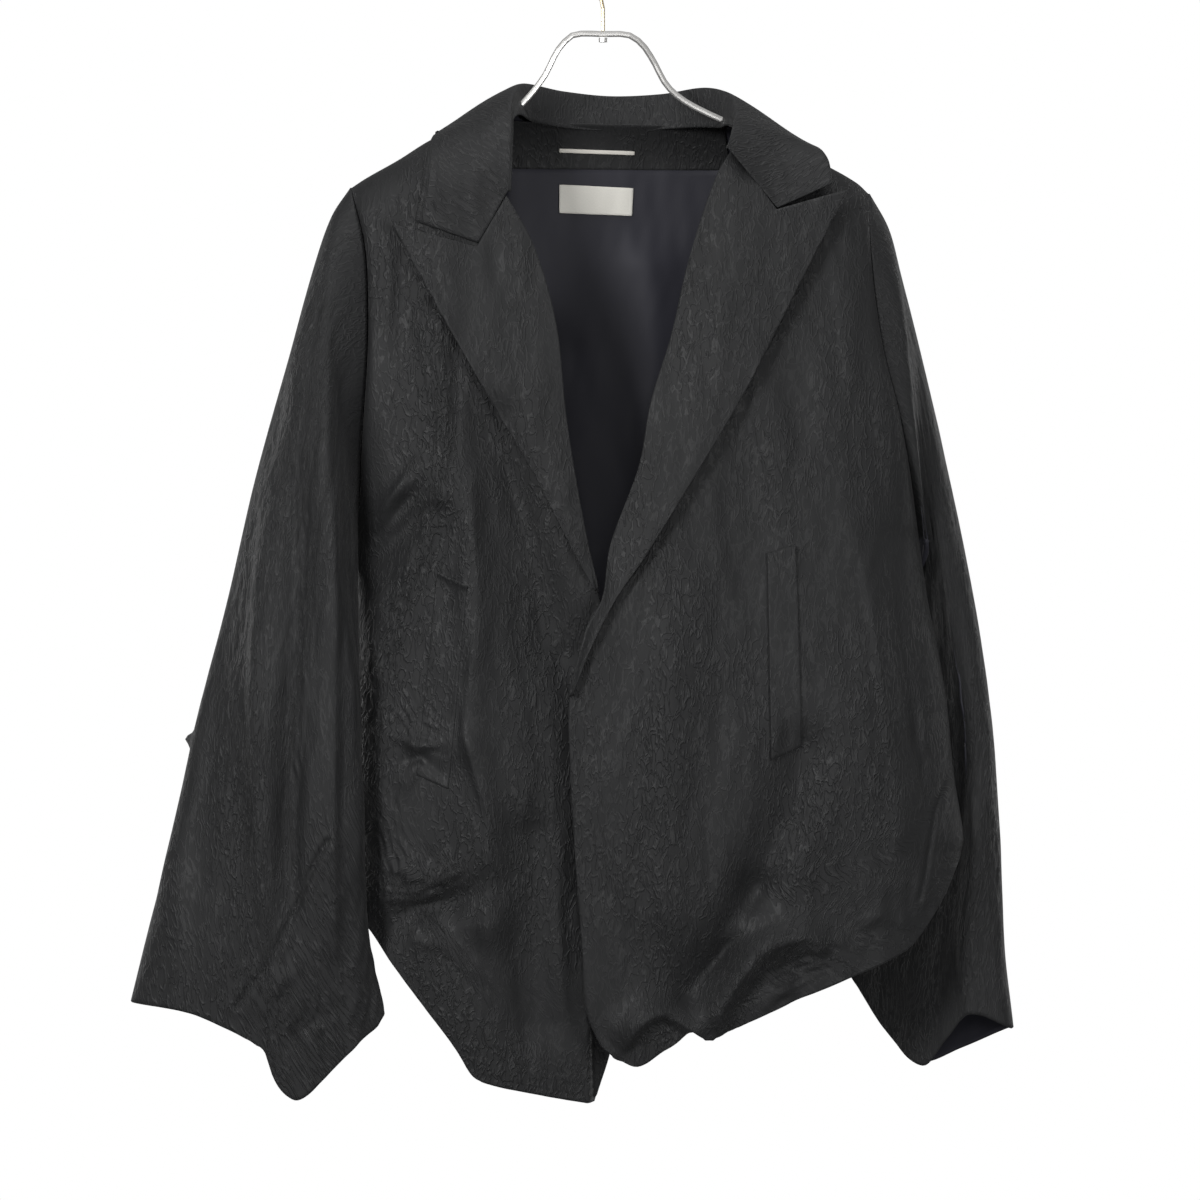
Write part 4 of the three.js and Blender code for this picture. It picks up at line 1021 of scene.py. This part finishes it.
def collar():
    """Stand and leaf over one fold."""
    fold = path([row[0] for row in COLLAR])
    edge = path([row[1] for row in COLLAR])
    share_of = path([(*row[0], index / (len(COLLAR) - 1)) for index, row in enumerate(COLLAR)])
    drops = [(index / (len(COLLAR) - 1), row[2]) for index, row in enumerate(COLLAR)]
    u, v = squares(*COLLAR_GRID)
    top, out = fold(u), edge(u)
    share = np.clip(share_of(u)[..., 3], 0, 1)
    drop = lookup(drops, share)
    up = np.clip(v / STAND, 0, 1)
    toward = unit(top[..., :2] - out[..., :2])
    neck = smooth(*NECK_STARTS, share) * smooth(*NECK_ENDS, share)
    step = lerp(SIDE_LEAN, NECK_LEAN, neck) * (1 - up)
    rising = np.stack([top[..., 0] + toward[..., 0] * step, top[..., 1] + toward[..., 1] * step,
                       top[..., 2] - drop * (1 - up)], -1)
    rising = lerp(clear_of_body(rising, TINY), rising, neck[..., None])
    down = np.clip((v - STAND) / (1 - STAND), 0, 1)
    falling = lerp(top, out, down[..., None])
    swell = LEAF_SWELL * np.sin(math.pi * down) * smooth(0.1, 0.3, share) * smooth(0.9, 0.7, share)
    falling[..., 2] += swell
    tent = np.where(down < 0.5, down * 2, (1 - down) * 2)
    for corner, row, weight in ((LEFT_GORGE, COLLAR[0], 1 - share / GORGE_SHARE),
                                (RIGHT_GORGE, COLLAR[-1], 1 - (1 - share) / GORGE_SHARE)):
        straight = lerp(np.array(row[0], float), np.array(row[1], float), 0.5)
        falling += (tent * np.clip(weight, 0, 1))[..., None] * (np.array(corner) - straight)
    falling = clear_of_body(falling, TINY + COLLAR_LIFT * smooth(0, 0.1, down))
    rows = np.where((v < STAND)[..., None], rising, falling)
    # The rows round the fold are smoothed
    first, last = 12, 21
    for _ in range(10):
        before, after = rows[first - 1:last - 1], rows[first + 1:last + 1]
        rows[first:last] = (before + rows[first:last] * 2 + after) / 4
    facing = np.where((v < STAND)[..., None], np.array(NECK_MIDDLE) - rows, rows - np.array(BELOW_NECK))
    obj = shell("collar_cloth", rows, FACING, facing, [cloth, cloth], plain=False)
    settle(obj, "collar")


collar()

# Flat pieces: corners, surface, lift off it, thickness, material, slot, grid, flat size, area
APPLIED = [
    ("neck_facing", [(-78, -139), (100, -141), (105, -176), (-78, -176)], "back", 4.2, LINING, cloth,
     "jacquard", (60, 20), (0.17, 0.038)),
    ("back_lining", [(-78, -176.3), (105, -176.3), (150, -740), (-130, -740)], "back", 4.2, LINING, inside,
     "lining", (60, 120), (0.30, 0.58)),
    ("neck_label", [(-36, -189), (25, -191.5), (24, -214), (-36, -212)], "back", 5.6, 0.8, cream, "label",
     (40, 16), (0.062, 0.026)),
    ("hang_loop", [(-36, -160), (26, -161.5), (26, -164), (-36, -162.5)], "back", 6, 1.2, ivory, "label",
     (60, 4), (0.064, 0.01), 0.00026),
    ("welt_right", [(133.5, -496), (156.5, -489), (161, -652), (137, -662.5)], "right", 2.6, 2.2, cloth,
     "jacquard", (20, 60), (0.026, 0.168)),
    ("welt_left", [(-133.5, -511), (-110, -522), (-125, -685), (-150, -674)], "left", 0.9, FACING, cloth,
     "jacquard", (24, 90), (0.026, 0.166)),
]


def pocket_lip(x, z):
    """The left pocket's top edge stands up."""
    away, _ = along_line([(-133.5, -511), (-110, -522)], x, z)
    return POCKET_LIP * bell(away, POCKET_LIP)


SURFACES = {
    "back": lambda x, z: back_y(x, z, LINING_CREASED) - CLOTH,
    "right": right_front_y,
    "left": lambda x, z: left_front_y(x, z) - pocket_lip(x, z),
}


def applied(node, corners, surface, lift, thickness, material, slot, steps, flat, area=None):
    """A small piece between four corners, laid on a surface."""
    top_left, top_right, bottom_right, bottom_left = corners
    u, v = squares(*steps)
    place = patch(polyline([top_left, top_right]), polyline([bottom_left, bottom_right]),
                  polyline([top_left, bottom_left]), polyline([top_right, bottom_right]))(u, v)
    x, z = place[..., 0], place[..., 1]
    rows = np.stack([x, SURFACES[surface](x, z) - lift, z], -1)
    obj = shell(node + "_cloth", rows, thickness, np.array([0, -1, 0]), [material, material])
    settle(obj, node)


for cut in APPLIED:
    applied(*cut)

for node, material in (("hanger_frame", chrome), ("hanger_nut", chrome), ("hanger_hook", brass)):
    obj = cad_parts[node]
    obj.data.materials.clear()
    obj.data.materials.append(material)
    obj.data.polygons.foreach_set("use_smooth", np.ones(len(obj.data.polygons), bool))

# Studio: soft lights in front and behind, and white all round as the camera sees it

scene = bpy.context.scene


def softbox(name, place, aim, size, power):
    light = bpy.data.lights.new(name, "AREA")
    light.shape = "RECTANGLE"
    light.size, light.size_y = size
    light.energy = power
    obj = bpy.data.objects.new(name, light)
    obj.location = place
    obj.rotation_euler = (Vector(aim) - Vector(place)).to_track_quat("-Z", "Y").to_euler()
    obj.visible_camera = False
    scene.collection.objects.link(obj)


softbox("key_box", (-1.6, -2.7, 0.5), (0, 0, -0.6), (0.8, 0.8), 65)
softbox("fill_box", (2.2, -2.4, -0.6), (0, 0, -0.6), (0.8, 1.6), 26)
softbox("front_box", (0.1, -3.6, 0.1), (0, 0, -0.4), (0.7, 0.7), 16)
softbox("low_box", (0.5, -2.6, -1.7), (0, 0, -0.5), (1.4, 0.6), 7)
softbox("top_box", (0.2, -0.3, 1.4), (0, 0, -0.4), (1.4, 0.8), 15)
softbox("left_back_box", (-2.6, 2.0, -0.1), (0, 0, -0.5), (1.2, 1.8), 20)
softbox("right_back_box", (2.4, 2.4, -0.3), (0, 0, -0.5), (1.2, 1.8), 18)

world = bpy.data.worlds.new("studio")
world.use_nodes = True
background = world.node_tree.nodes["Background"]
background.inputs["Color"].default_value = (1, 1, 1, 1)
seen = world.node_tree.nodes.new("ShaderNodeLightPath")
strength = world.node_tree.nodes.new("ShaderNodeMath")
strength.operation = "MULTIPLY_ADD"
strength.inputs[1].default_value = 1 - ROOM_LIGHT
strength.inputs[2].default_value = ROOM_LIGHT
world.node_tree.links.new(seen.outputs["Is Camera Ray"], strength.inputs[0])
world.node_tree.links.new(strength.outputs[0], background.inputs["Strength"])
scene.world = world
scene.view_settings.view_transform = "Standard"

camera = bpy.data.objects.new("camera", bpy.data.cameras.new("camera"))
camera.location = CAMERA_AT
camera.rotation_euler = (math.pi / 2, 0, 0)
camera.data.sensor_width = CAMERA_SENSOR
camera.data.lens = CAMERA_SENSOR * -CAMERA_AT[1] / FRAME_WIDTH
scene.collection.objects.link(camera)
scene.camera = camera
